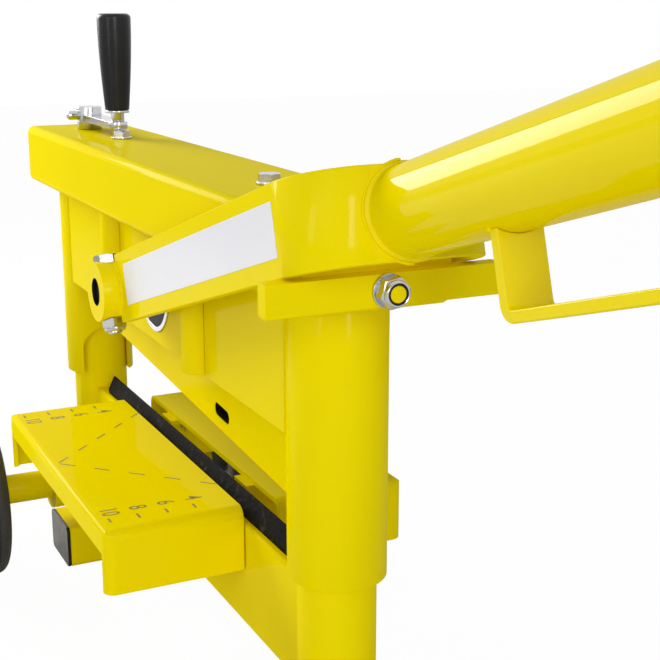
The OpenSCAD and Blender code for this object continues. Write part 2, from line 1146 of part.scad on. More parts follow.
module hub_nuts() {
    color(zinc)
        at_lever()
            hub_bolt_places()
                difference() {
                    hex_z(hub_bolt_af, -hub_spot - hub_nut_h, -hub_spot);
                    round_z(hub_bolt_d + 2 * fit_gap, -hub_spot - hub_nut_h - overrun, -hub_spot + overrun);
                }
}

module eccentric_shaft() {
    color(steel)
        difference() {
            translate([0, 0, axis_z])
                union() {
                    both_y() {
                        round_y(journal_d - 2 * journal_gap, holder_t / 2 + run_gap, bush_out);
                        round_y(shaft_d, bush_out, hub_out - shaft_inset);
                    }
                    translate([throw_x, 0, throw_z])
                        round_y(pin_d, -holder_t / 2 - run_gap, holder_t / 2 + run_gap);
                }
            at_lever()
                hub_bolt_places()
                    round_z(hub_bolt_d + 2 * fit_gap, -shaft_d, shaft_d);
        }
}

module lever_tube() {
    color(yellow)
        at_lever()
            difference() {
                round_x(tube_d, fork_l, tube_end);
                round_x(tube_d - 2 * tube_wall, fork_l - overrun, tube_end + overrun);
            }
}

module loop_outline(l, h, r) {
    translate([0, r - h])
        square([l, h - r]);
    translate([r, -h])
        square([l - 2 * r, h]);
    for (x = [r, l - r])
        translate([x, r - h])
            circle(r);
}

module lever_loop() {
    color(yellow)
        at_lever()
            difference() {
                slab_y(-loop_w / 2, loop_w / 2)
                    difference() {
                        at_x(loop_start)
                            loop_outline(loop_l, loop_drop, loop_round);
                        at_x(loop_start + loop_t)
                            loop_outline(loop_l - 2 * loop_t, loop_drop - loop_t, loop_round - loop_t);
                    }
                round_x(tube_d, fork_l, tube_end);
            }
}

module lever_end_cap() {
    color(black)
        at_lever() {
            round_x(tube_d, tube_end, tube_end + end_cap_t);
            round_x(tube_d - 2 * tube_wall - 2 * fit_gap, tube_end - end_cap_l, tube_end);
        }
}

// Knife

module pin_slot() {
    translate([slot_x, axis_z + throw_z]) {
        square([slot_travel, 2 * slot_r], center = true);
        for (side = [-1, 1])
            translate([side * slot_travel / 2, 0])
                circle(slot_r);
    }
}

module knife_holder() {
    ear_in = knife_t / 2 + lug_gap;
    color(steel)
        difference() {
            union() {
                slab_y(-holder_t / 2, holder_t / 2)
                    difference() {
                        translate([-holder_l / 2, holder_z])
                            square([holder_l, holder_top - holder_z]);
                        pin_slot();
                    }
                both_y()
                    slab_y(ear_in, holder_t / 2) {
                        translate([0, pivot_z])
                            circle(lug_r);
                        translate([-lug_r, pivot_z])
                            square([2 * lug_r, holder_z - pivot_z + holder_web / 2]);
                    }
            }
            translate([0, 0, pivot_z]) {
                round_y(2 * (lug_r + lug_gap), -ear_in, ear_in);
                round_y(pivot_d + 2 * fit_gap, -holder_t, holder_t);
            }
        }
}

module knife_pivot_pin() {
    color(zinc)
        translate([0, 0, pivot_z])
            round_y(pivot_d, -holder_t / 2, holder_t / 2);
}

module upper_knife() {
    edge_z = -knife_top_drop - knife_h;
    color(yellow)
        translate([0, 0, pivot_z])
            rotate([0, knife_tilt, 0])
                difference() {
                    union() {
                        bar_x(-knife_l / 2, knife_l / 2)
                            polygon([
                                [-knife_t / 2, -knife_top_drop], [-knife_t / 2, edge_z + knife_bevel_h],
                                [-knife_edge_w / 2, edge_z], [knife_edge_w / 2, edge_z],
                                [knife_t / 2, edge_z + knife_bevel_h], [knife_t / 2, -knife_top_drop]]);
                        slab_y(-knife_t / 2, knife_t / 2) {
                            circle(lug_r);
                            translate([-lug_r, -2 * knife_top_drop])
                                square([2 * lug_r, 2 * knife_top_drop]);
                        }
                    }
                    round_y(pivot_d + 2 * fit_gap, -knife_t, knife_t);
                    translate([knife_slot_x, 0, edge_z + knife_slot_rise])
                        slab_y(-knife_t, knife_t)
                            rounded_rect(knife_slot_l, knife_slot_h, knife_slot_h / 2 - fit_gap);
                }
}

near_foot();
far_foot();
foot_caps();
near_column();
far_column();
column_nuts();
lower_beam();
lower_blade();
table_arms();
left_table();
right_table();
table_nuts();
axle_brackets();
axle_tube();
wheel_axle();
axle_caps();
left_rim();
left_tyre();
right_rim();
right_tyre();
top_beam();
near_sleeve();
far_sleeve();
front_cheek();
rear_cheek();
cheek_ribs();
shaft_bushes();
guide_strips();
tie_blocks();
beam_bolts();
beam_washers();
spindle_bushes();
drive_chain();
stop_bar();
stop_stud();
stop_nut();
far_spindle();
far_sprocket();
crank_hub();
crank_set_screw();
crank_arm();
grip_pin();
crank_grip();
near_spindle();
near_sprocket();
lever_fork();
lever_hubs();
hub_bolts();
hub_nuts();
eccentric_shaft();
lever_tube();
lever_loop();
lever_end_cap();
knife_holder();
knife_pivot_pin();
upper_knife();
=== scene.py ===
"""Looks of a masonry block splitter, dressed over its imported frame."""
import json
import logging
import math
from dataclasses import dataclass, replace
from enum import Enum
from typing import Any, Iterable, Sequence

import bmesh
import bpy
from mathutils import Matrix, Quaternion, Vector

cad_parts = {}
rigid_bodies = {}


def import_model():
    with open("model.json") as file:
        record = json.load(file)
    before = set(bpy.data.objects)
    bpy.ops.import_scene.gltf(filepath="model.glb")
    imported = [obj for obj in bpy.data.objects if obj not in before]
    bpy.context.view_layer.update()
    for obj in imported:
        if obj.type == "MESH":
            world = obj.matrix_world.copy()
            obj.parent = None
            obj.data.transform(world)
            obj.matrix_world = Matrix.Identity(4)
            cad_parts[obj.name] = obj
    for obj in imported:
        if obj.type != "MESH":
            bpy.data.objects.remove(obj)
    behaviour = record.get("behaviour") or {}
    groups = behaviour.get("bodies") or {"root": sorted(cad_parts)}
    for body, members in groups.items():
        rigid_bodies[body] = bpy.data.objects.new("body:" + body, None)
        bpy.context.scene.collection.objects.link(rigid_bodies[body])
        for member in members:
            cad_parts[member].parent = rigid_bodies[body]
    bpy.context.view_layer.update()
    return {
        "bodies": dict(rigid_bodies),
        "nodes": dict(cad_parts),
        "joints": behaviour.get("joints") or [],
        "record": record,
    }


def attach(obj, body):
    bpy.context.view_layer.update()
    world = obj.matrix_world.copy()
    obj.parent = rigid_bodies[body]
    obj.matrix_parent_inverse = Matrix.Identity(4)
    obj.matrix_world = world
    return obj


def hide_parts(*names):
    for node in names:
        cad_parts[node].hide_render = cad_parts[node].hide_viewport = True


LOG = logging.getLogger("block_splitter")
MM = 0.001
CM = 10.0 * MM
QUARTER = math.radians(90.0)
SIDES = (1.0, -1.0)
X_AXIS = Vector((1.0, 0.0, 0.0))
Y_AXIS = Vector((0.0, 1.0, 0.0))
Z_AXIS = Vector((0.0, 0.0, 1.0))
WHITE = (1.0, 1.0, 1.0, 1.0)
MIX_FIRST = 6
MIX_SECOND = 7
MIX_RESULT = 2
GLOSS_RATE = 5.0
DOUBLES = 0.0005 * MM
JOIN_REACH = 0.004 * MM
FLAT_ANGLE = 0.4
EDGE_ANGLE = 38.0
SHARP_ANGLE = 32.0
CORNER_STEP = 15.0
CORNER_STEPS = 6
SHANK_SIDES = 32
NUT_SIDES = 48
ROUND_SIDES = 64
LARGE_SIDES = 96
ARC_STEP = 6.0
ARC_FEWEST = 8
BEAD_STEP = 0.62
DROP_LEAST = (0.6, 0.8, 0.8)
DROP_MOST = (0.85, 1.12, 1.12)
Node = bpy.types.Node
NodeTree = bpy.types.NodeTree
Mesh = bpy.types.Mesh
BMesh = bmesh.types.BMesh
Colour = tuple[float, float, float]
Point = tuple[float, float, float]
Path3 = list[Point]
Profile = Sequence[tuple[float, float]]
Shell = tuple[BMesh, Matrix]
Ring = list[bmesh.types.BMVert]
Ends = tuple[NodeTree, Node, Node]
Link = tuple[Node, str | int, Node, str | int]

# Turned profiles: the radius and height of each ring in millimetres. The fillet's radii count from the tube.
STOP_WASHER = ((4.7, 0.0), (9.7, 0.0), (9.7, 1.7), (9.4, 2.0), (4.7, 2.0), (4.7, 0.0))
STOP_COLLAR = (
    (4.7, 9.0), (7.6, 9.0), (7.6, 10.4), (7.4, 11.3), (7.0, 11.9), (6.4, 12.1), (6.0, 11.9), (5.8, 11.5),
    (5.8, 11.0), (4.7, 11.0), (4.7, 9.0))
STOP_RING = ((4.7, 11.0), (5.8, 11.0), (5.8, 11.6), (4.7, 11.6), (4.7, 11.0))
STOP_STUD = ((0.0, -14.0), (6.0, -14.0), (6.0, 0.0), (4.6, 0.0), (4.6, 11.7), (4.2, 12.1), (0.0, 12.1))
HUB_COLLAR = (
    (5.1, 7.0), (7.9, 7.0), (7.9, 8.6), (7.4, 9.5), (6.6, 10.0), (6.0, 9.6), (6.0, 9.0), (5.1, 9.0),
    (5.1, 7.0))
HUB_RING = ((5.1, 9.0), (6.0, 9.0), (6.0, 9.7), (5.1, 9.7), (5.1, 9.0))
HUB_SHANK = ((0.0, 18.0), (5.0, 18.0), (5.0, 31.0), (4.2, 32.0), (0.0, 32.0))
TUBE_FILLET = (
    (-0.2, 2.4), (0.2, 1.4), (0.6, 0.7), (1.2, 0.25), (2.0, -0.4), (-0.2, -0.4), (-0.2, 2.4))


class Body(Enum):
    """The bodies that carry new pieces."""

    FRAME = "frame"
    HEAD = "head"
    LEVER = "lever"
    LEFT_WHEEL = "left_wheel"
    RIGHT_WHEEL = "right_wheel"
    KNIFE = "knife"


class Slot(Enum):
    """The record's material slots."""

    YELLOW = "yellow_paint"
    ZINC = "zinc"
    STEEL = "steel"
    BLADE = "blade_steel"
    BRONZE = "bronze"
    RIM = "rim_plastic"
    PLASTIC = "black_plastic"
    RUBBER = "tyre_rubber"


def add_node(tree: NodeTree, kind: str, **values: Any) -> Node:
    """Adds a node with its settings and input values.

    Args:
        tree: The node tree that takes the node.
        kind: The node's type name.
        values: Settings by their lower-case names, and input values by socket name, with spaces written
            as underscores.

    Returns:
        The new node.
    """
    node = tree.nodes.new(kind)
    for name, value in values.items():
        if name.islower():
            setattr(node, name, value)
        else:
            node.inputs[name.replace("_", " ")].default_value = value
    return node


def wire(tree: NodeTree, *links: Link) -> None:
    """Links sockets.

    Args:
        tree: The node tree that takes the links.
        links: Rows of a node and its output, then a node and its input.
    """
    for source, output, target, entry in links:
        tree.links.new(source.outputs[output], target.inputs[entry])


def start_tree(name: str, kind: str, inputs: dict[str, str], outputs: dict[str, str]) -> Ends:
    """Makes an empty node group with its sockets.

    Args:
        name: The group's name.
        kind: The type of node tree.
        inputs: Socket types by input name.
        outputs: Socket types by output name.

    Returns:
        The tree, its input node and its output node.
    """
    tree = bpy.data.node_groups.new(name, kind)
    for way, sockets in (("INPUT", inputs), ("OUTPUT", outputs)):
        for label, socket in sockets.items():
            tree.interface.new_socket(name=label, in_out=way, socket_type="NodeSocket" + socket)
    return tree, tree.nodes.new("NodeGroupInput"), tree.nodes.new("NodeGroupOutput")


def add_object(name: str, data: bpy.types.ID) -> bpy.types.Object:
    """Adds an object to the scene.

    Args:
        name: The object's name.
        data: Its mesh, light, camera or text.

    Returns:
        The new object.
    """
    made = bpy.data.objects.new(name, data)
    bpy.context.collection.objects.link(made)
    return made


class Effects:
    """The shader node groups that the finishes share."""

    def __init__(self) -> None:
        """Builds each group once."""
        self.mottle = self._mottle()
        self.grain = self._grain()
        self.rub = self._rub()

    def _mottle(self) -> NodeTree:
        """Makes slow changes of tone and quicker changes of gloss.

        Returns:
            The group.
        """
        outputs = {"Tone": "Float", "Gloss": "Float"}
        tree, start, end = start_tree("mottle", "ShaderNodeTree", {"Scale": "Float"}, outputs)
        place = tree.nodes.new("ShaderNodeTexCoord")
        slow = add_node(tree, "ShaderNodeTexNoise", Detail=3.0, Roughness=0.55)
        times = add_node(tree, "ShaderNodeMath", operation="MULTIPLY")
        times.inputs[1].default_value = GLOSS_RATE
        quick = add_node(tree, "ShaderNodeTexNoise", Detail=5.0, Roughness=0.6)
        wire(
            tree,
            (place, "Object", slow, "Vector"),
            (place, "Object", quick, "Vector"),
            (start, "Scale", slow, "Scale"),
            (start, "Scale", times, 0),
            (times, 0, quick, "Scale"),
            (slow, "Fac", end, "Tone"),
            (quick, "Fac", end, "Gloss"))
        return tree

    def _grain(self) -> NodeTree:
        """Makes the height of a fine grain.

        Returns:
            The group.
        """
        tree, start, end = start_tree("grain", "ShaderNodeTree", {"Scale": "Float"}, {"Height": "Float"})
        place = tree.nodes.new("ShaderNodeTexCoord")
        fine = add_node(tree, "ShaderNodeTexNoise", Detail=4.0, Roughness=0.5)
        wire(
            tree,
            (place, "Object", fine, "Vector"),
            (start, "Scale", fine, "Scale"),
            (fine, "Fac", end, "Height"))
        return tree

    def _rub(self) -> NodeTree:
        """Makes the mask of small rubbed or chipped spots.

        Returns:
            The group.
        """
        inputs = {"Scale": "Float", "Amount": "Float"}
        tree, start, end = start_tree("rub", "ShaderNodeTree", inputs, {"Mask": "Float"})
        place = tree.nodes.new("ShaderNodeTexCoord")
        spots = add_node(tree, "ShaderNodeTexNoise", Detail=8.0, Roughness=0.7)
        edge = add_node(tree, "ShaderNodeMath", operation="SUBTRACT", Value=1.0)
        cut = add_node(tree, "ShaderNodeMapRange", To_Min=0.0, To_Max=1.0, From_Max=1.0)
        wire(
            tree,
            (place, "Object", spots, "Vector"),
            (start, "Scale", spots, "Scale"),
            (start, "Amount", edge, 1),
            (edge, 0, cut, "From Min"),
            (spots, "Fac", cut, "Value"),
            (cut, 0, end, "Mask"))
        return tree


@dataclass(frozen=True)
class Finish:
    """One surface finish, with its colours, gloss and grain."""

    name: str
    slot: Slot
    colour: Colour
    shade: Colour
    roughness: float
    spread: float = 0.06
    metallic: float = 0.0
    sheen: float = 0.5
    coat: float = 0.0
    coat_roughness: float = 0.05
    tone_scale: float = 14.0
    grain_scale: float = 700.0
    grain_depth: float = 0.02 * MM
    bare: Colour = (0.5, 0.5, 0.5)
    rub_scale: float = 90.0
    rub_amount: float = 0.0

    def build(self, effects: Effects) -> bpy.types.Material:
        """Makes the material.

        Args:
            effects: The shared node groups.

        Returns:
            The finished material.
        """
        material = bpy.data.materials.new(self.name)
        material.use_nodes = True
        tree = material.node_tree
        shader = tree.nodes["Principled BSDF"]
        shader.inputs["Metallic"].default_value = self.metallic
        shader.inputs["Specular IOR Level"].default_value = self.sheen
        shader.inputs["Coat Weight"].default_value = self.coat
        shader.inputs["Coat Roughness"].default_value = self.coat_roughness
        mottle = add_node(tree, "ShaderNodeGroup", node_tree=effects.mottle, Scale=self.tone_scale)
        tone = self._mix(tree, self.colour, self.shade)
        wire(tree, (mottle, "Tone", tone, 0))
        top = tone
        if self.rub_amount:
            rub = add_node(
                tree, "ShaderNodeGroup", node_tree=effects.rub, Scale=self.rub_scale, Amount=self.rub_amount)
            top = self._mix(tree, self.colour, self.bare)
            wire(tree, (rub, "Mask", top, 0), (tone, MIX_RESULT, top, MIX_FIRST))
        gloss = add_node(
            tree, "ShaderNodeMapRange", From_Min=0.3, From_Max=0.7,
            To_Min=self.roughness - self.spread, To_Max=self.roughness + self.spread)
        grain = add_node(tree, "ShaderNodeGroup", node_tree=effects.grain, Scale=self.grain_scale)
        bump = add_node(tree, "ShaderNodeBump", Strength=1.0, Distance=self.grain_depth)
        wire(
            tree,
            (top, MIX_RESULT, shader, "Base Color"),
            (mottle, "Gloss", gloss, "Value"),
            (gloss, 0, shader, "Roughness"),
            (grain, "Height", bump, "Height"),
            (bump, "Normal", shader, "Normal"))
        return material

    @staticmethod
    def _mix(tree: NodeTree, first: Colour, second: Colour) -> Node:
        """Adds a mix of two colours.

        Args:
            tree: The material's node tree.
            first: The colour at factor 0.
            second: The colour at factor 1.

        Returns:
            The mix node.
        """
        node = add_node(tree, "ShaderNodeMix", data_type="RGBA")
        node.inputs[MIX_FIRST].default_value = (*first, 1.0)
        node.inputs[MIX_SECOND].default_value = (*second, 1.0)
        return node


YELLOW = Finish(
    "yellow_powder_coat", Slot.YELLOW, (0.86, 0.70, 0.0), (0.83, 0.67, 0.0), 0.3, 0.04, sheen=0.0,
    coat=0.08, coat_roughness=0.08, grain_scale=420.0, grain_depth=0.004 * MM)
GLOSS = replace(
    YELLOW, name="glossy_yellow_coat", coat=0.3, coat_roughness=0.06, grain_depth=0.0015 * MM)
SATIN = replace(
    YELLOW, name="satin_yellow_coat", coat=0.12, coat_roughness=0.06, grain_depth=0.0015 * MM)
ZINC = Finish(
    "bright_zinc", Slot.ZINC, (0.64, 0.64, 0.67), (0.46, 0.46, 0.48), 0.2, 0.09, metallic=1.0,
    tone_scale=160.0, grain_scale=2600.0, grain_depth=0.006 * MM)
STEEL = Finish(
    "oiled_steel", Slot.STEEL, (0.16, 0.155, 0.15), (0.09, 0.088, 0.085), 0.36, 0.1, metallic=0.9,
    tone_scale=90.0, grain_scale=1500.0, grain_depth=0.01 * MM, bare=(0.4, 0.39, 0.38), rub_amount=0.32)
BLADE = Finish(
    "chipped_blade_steel", Slot.BLADE, (0.004, 0.004, 0.004), (0.010, 0.009, 0.008), 0.6, 0.14, sheen=0.03,
    tone_scale=120.0, grain_scale=420.0, grain_depth=0.5 * MM, bare=(0.16, 0.14, 0.11), rub_scale=110.0,
    rub_amount=0.43)
BLACKED = Finish(
    "blacked_steel", Slot.STEEL, (0.004, 0.004, 0.005), (0.009, 0.009, 0.010), 0.4, 0.08, sheen=0.06,
    tone_scale=90.0, grain_scale=1500.0, grain_depth=0.006 * MM)
BRONZE = Finish(
    "bush_bronze", Slot.BRONZE, (0.56, 0.36, 0.14), (0.42, 0.26, 0.1), 0.34, 0.08, metallic=1.0,
    tone_scale=110.0, grain_scale=1400.0, grain_depth=0.008 * MM)
RIM = Finish(
    "rim_plastic", Slot.RIM, (0.055, 0.055, 0.058), (0.038, 0.038, 0.04), 0.42, 0.08,
    grain_scale=1300.0, grain_depth=0.03 * MM)
PLASTIC = Finish(
    "satin_black_plastic", Slot.PLASTIC, (0.008, 0.008, 0.009), (0.013, 0.013, 0.014), 0.26, 0.05, sheen=0.25,
    grain_scale=1500.0, grain_depth=0.012 * MM)
RUBBER = Finish(
    "tyre_rubber", Slot.RUBBER, (0.012, 0.012, 0.0125), (0.026, 0.026, 0.026), 0.58, 0.1,
    tone_scale=40.0, grain_scale=900.0, grain_depth=0.06 * MM)
STRIP = Finish(
    "white_strip", Slot.YELLOW, (0.77, 0.77, 0.81), (0.74, 0.74, 0.78), 0.32, 0.05,
    grain_scale=900.0, grain_depth=0.006 * MM)
PRINT = Finish(
    "printed_marks", Slot.YELLOW, (0.20, 0.15, 0.01), (0.30, 0.23, 0.01), 0.45, 0.08,
    tone_scale=300.0, grain_scale=1100.0, grain_depth=0.01 * MM, bare=(0.5, 0.41, 0.02), rub_scale=900.0,
    rub_amount=0.4)
FINISHES = (YELLOW, GLOSS, SATIN, ZINC, STEEL, BLADE, BLACKED, BRONZE, RIM, PLASTIC, RUBBER, STRIP, PRINT)


class Trees:
    """The Geometry Nodes trees for what repeats or follows a path."""

    def __init__(self) -> None:
        """Builds each tree once."""
        self.bead = self._bead()
        self.mark = self._mark()
        self.seat = self._seat()

    @staticmethod
    def _start(name: str, inputs: dict[str, str]) -> Ends:
        """Makes an empty tree with a geometry socket at each end.

        Args:
            name: The tree's name.
            inputs: Socket types by input name.

        Returns:
            The tree, its input node and the node that sets the finish.
        """
        sockets = {"Geometry": "Geometry", **inputs, "Finish": "Material"}
        tree, start, end = start_tree(name, "GeometryNodeTree", sockets, {"Geometry": "Geometry"})
        paint = tree.nodes.new("GeometryNodeSetMaterial")
        wire(tree, (start, "Finish", paint, "Material"), (paint, "Geometry", end, "Geometry"))
        return tree, start, paint

    @staticmethod
    def _along(tree: NodeTree, start: Node, step: str) -> tuple[Node, Node]:
        """Samples the path at even steps and turns each point along it.

        Args:
            tree: The tree that takes the nodes.
            start: The tree's input node.
            step: The name of the input that holds the step.

        Returns:
            The instancing node and the node that realizes what it places.
        """
        curve = tree.nodes.new("GeometryNodeMeshToCurve")
        sample = add_node(tree, "GeometryNodeResampleCurve", mode="LENGTH")
        tangent = tree.nodes.new("GeometryNodeInputTangent")
        turn = add_node(tree, "FunctionNodeAlignRotationToVector", axis="X")
        place = tree.nodes.new("GeometryNodeInstanceOnPoints")
        real = tree.nodes.new("GeometryNodeRealizeInstances")
        wire(
            tree,
            (start, "Geometry", curve, "Mesh"),
            (curve, "Curve", sample, "Curve"),
            (start, step, sample, "Length"),
            (sample, "Curve", place, "Points"),
            (tangent, "Tangent", turn, "Vector"),
            (turn, "Rotation", place, "Rotation"),
            (place, "Instances", real, "Geometry"))
        return place, real

    def _bead(self) -> NodeTree:
        """Makes a weld bead: overlapping flattened drops along a path.

        Returns:
            The tree.
        """
        tree, start, paint = self._start("weld_bead", {"Step": "Float", "Width": "Float"})
        place, real = self._along(tree, start, "Step")
        drop = add_node(tree, "GeometryNodeMeshUVSphere", Segments=8, Rings=6, Radius=1.0)
        vary = add_node(tree, "FunctionNodeRandomValue", data_type="FLOAT_VECTOR", Seed=7)
        vary.inputs[0].default_value = DROP_LEAST
        vary.inputs[1].default_value = DROP_MOST
        size = add_node(tree, "ShaderNodeVectorMath", operation="SCALE")
        smooth = tree.nodes.new("GeometryNodeSetShadeSmooth")
        wire(
            tree,
            (drop, "Mesh", place, "Instance"),
            (vary, 0, size, 0),
            (start, "Width", size, "Scale"),
            (size, 0, place, "Scale"),
            (real, "Geometry", smooth, "Geometry"),
            (smooth, "Geometry", paint, "Geometry"))
        return tree

    def _mark(self) -> NodeTree:
        """Makes evenly spaced printed bars along a path.

        Returns:
            The tree.
        """
        tree, start, paint = self._start("printed_bars", {"Pitch": "Float", "Size": "Vector"})
        place, real = self._along(tree, start, "Pitch")
        bar = tree.nodes.new("GeometryNodeMeshCube")
        wire(
            tree,
            (start, "Size", bar, "Size"),
            (bar, "Mesh", place, "Instance"),
            (real, "Geometry", paint, "Geometry"))
        return tree

    def _seat(self) -> NodeTree:
        """Sets one shape on every seat point, turned by the point's own angles.

        Returns:
            The tree.
        """
        tree, start, paint = self._start("seated_parts", {"Shape": "Object"})
        shape = tree.nodes.new("GeometryNodeObjectInfo")
        turn = add_node(tree, "GeometryNodeInputNamedAttribute", data_type="FLOAT_VECTOR", Name="turn")
        angles = tree.nodes.new("FunctionNodeEulerToRotation")
        place = tree.nodes.new("GeometryNodeInstanceOnPoints")
        real = tree.nodes.new("GeometryNodeRealizeInstances")
        wire(
            tree,
            (start, "Shape", shape, "Object"),
            (start, "Geometry", place, "Points"),
            (shape, "Geometry", place, "Instance"),
            (turn, 0, angles, "Euler"),
            (angles, "Rotation", place, "Rotation"),
            (place, "Instances", real, "Geometry"),
            (real, "Geometry", paint, "Geometry"))
        return tree


def revolve(profile: Profile, steps: int) -> BMesh:
    """Turns a profile about the Z axis.

    Args:
        profile: Radius and height of each ring, in metres, listed so that faces look outwards.
        steps: The number of sides.

    Returns:
        The closed or open shell.
    """
    shell = bmesh.new()
    rings = []
    for radius, height in profile:
        if radius == 0.0:
            rings.append([shell.verts.new((0.0, 0.0, height))])
            continue
        angles = [2.0 * math.pi * k / steps for k in range(steps)]
        rings.append([shell.verts.new((radius * math.cos(a), radius * math.sin(a), height)) for a in angles])
    skin(shell, rings)
    return shell


def lathe(profile: Profile, steps: int) -> BMesh:
    """Turns a profile that is written in millimetres about the Z axis."""
    return revolve([(radius * MM, height * MM) for radius, height in profile], steps)


def skin(shell: BMesh, rings: Sequence[Ring]) -> None:
    """Closes the band between each ring of vertices and the next.

    Args:
        shell: The shell that takes the faces.
        rings: The rings, any of which may be one point.
    """
    for low, high in zip(rings, rings[1:]):
        for k in range(max(len(low), len(high))):
            ahead = k + 1
            corners = [low[k % len(low)], low[ahead % len(low)], high[ahead % len(high)], high[k % len(high)]]
            unique = list(dict.fromkeys(corners))
            if len(unique) > 2:
                shell.faces.new(unique)


def hex_shape(flats: float, height: float, bore: float = 0.0, foot: bool = False) -> BMesh:
    """Makes a hexagon with chamfered corners, standing on Z 0.

    Args:
        flats: The width across the flats.
        height: The height.
        bore: The diameter of the hole, or 0 for none.
        foot: Whether the lower corners are chamfered too.

    Returns:
        The closed shell.
    """
    sides = 72
    rim = 0.485 * flats
    slope = math.tan(math.radians(30.0))
    shell = bmesh.new()

    def ring(radius: float | None, level: float, drop: float) -> Ring:
        """Adds one ring of vertices.

        Args:
            radius: The radius of a round ring, or None for one along the hexagon.
            level: The ring's height.
            drop: How far a hexagon's corners follow the chamfer, upwards or downwards.

        Returns:
            The vertices in order.
        """
        made = []
        for k in range(sides):
            angle = 2.0 * math.pi * k / sides
            fold = (angle + math.pi / 6.0) % (math.pi / 3.0) - math.pi / 6.0
            corner = 0.5 * flats / math.cos(fold)
            reach = corner if radius is None else radius
            z = level + drop * max(0.0, corner - rim) * slope if radius is None else level
            made.append(shell.verts.new((reach * math.cos(angle), reach * math.sin(angle), z)))
        return made

    hole = 0.5 * bore
    inner_low = ring(hole, 0.0, 0.0) if bore else [shell.verts.new((0.0, 0.0, 0.0))]
    inner_high = ring(hole, height, 0.0) if bore else [shell.verts.new((0.0, 0.0, height))]
    rings = [inner_low]
    if foot:
        rings.append(ring(rim, 0.0, 0.0))
    rings.append(ring(None, 0.0, 1.0 if foot else 0.0))
    rings.append(ring(None, height, -1.0))
    rings.append(ring(rim, height, 0.0))
    rings.append(inner_high)
    if bore:
        rings.append(inner_low)
    skin(shell, rings)
    return shell


def circle(centre: Vector, first: Vector, second: Vector, radius: float, start: float, end: float) -> Path3:
    """Returns points along an arc.

    Args:
        centre: The arc's centre.
        first: The direction at angle 0.
        second: The direction at a quarter turn.
        radius: The radius in metres.
        start: The first angle in degrees.
        end: The last angle in degrees.

    Returns:
        The points, in metres.
    """
    count = max(ARC_FEWEST, int(abs(end - start) / ARC_STEP))
    angles = [math.radians(start + (end - start) * k / count) for k in range(count + 1)]
    return [tuple(centre + radius * (math.cos(a) * first + math.sin(a) * second)) for a in angles]


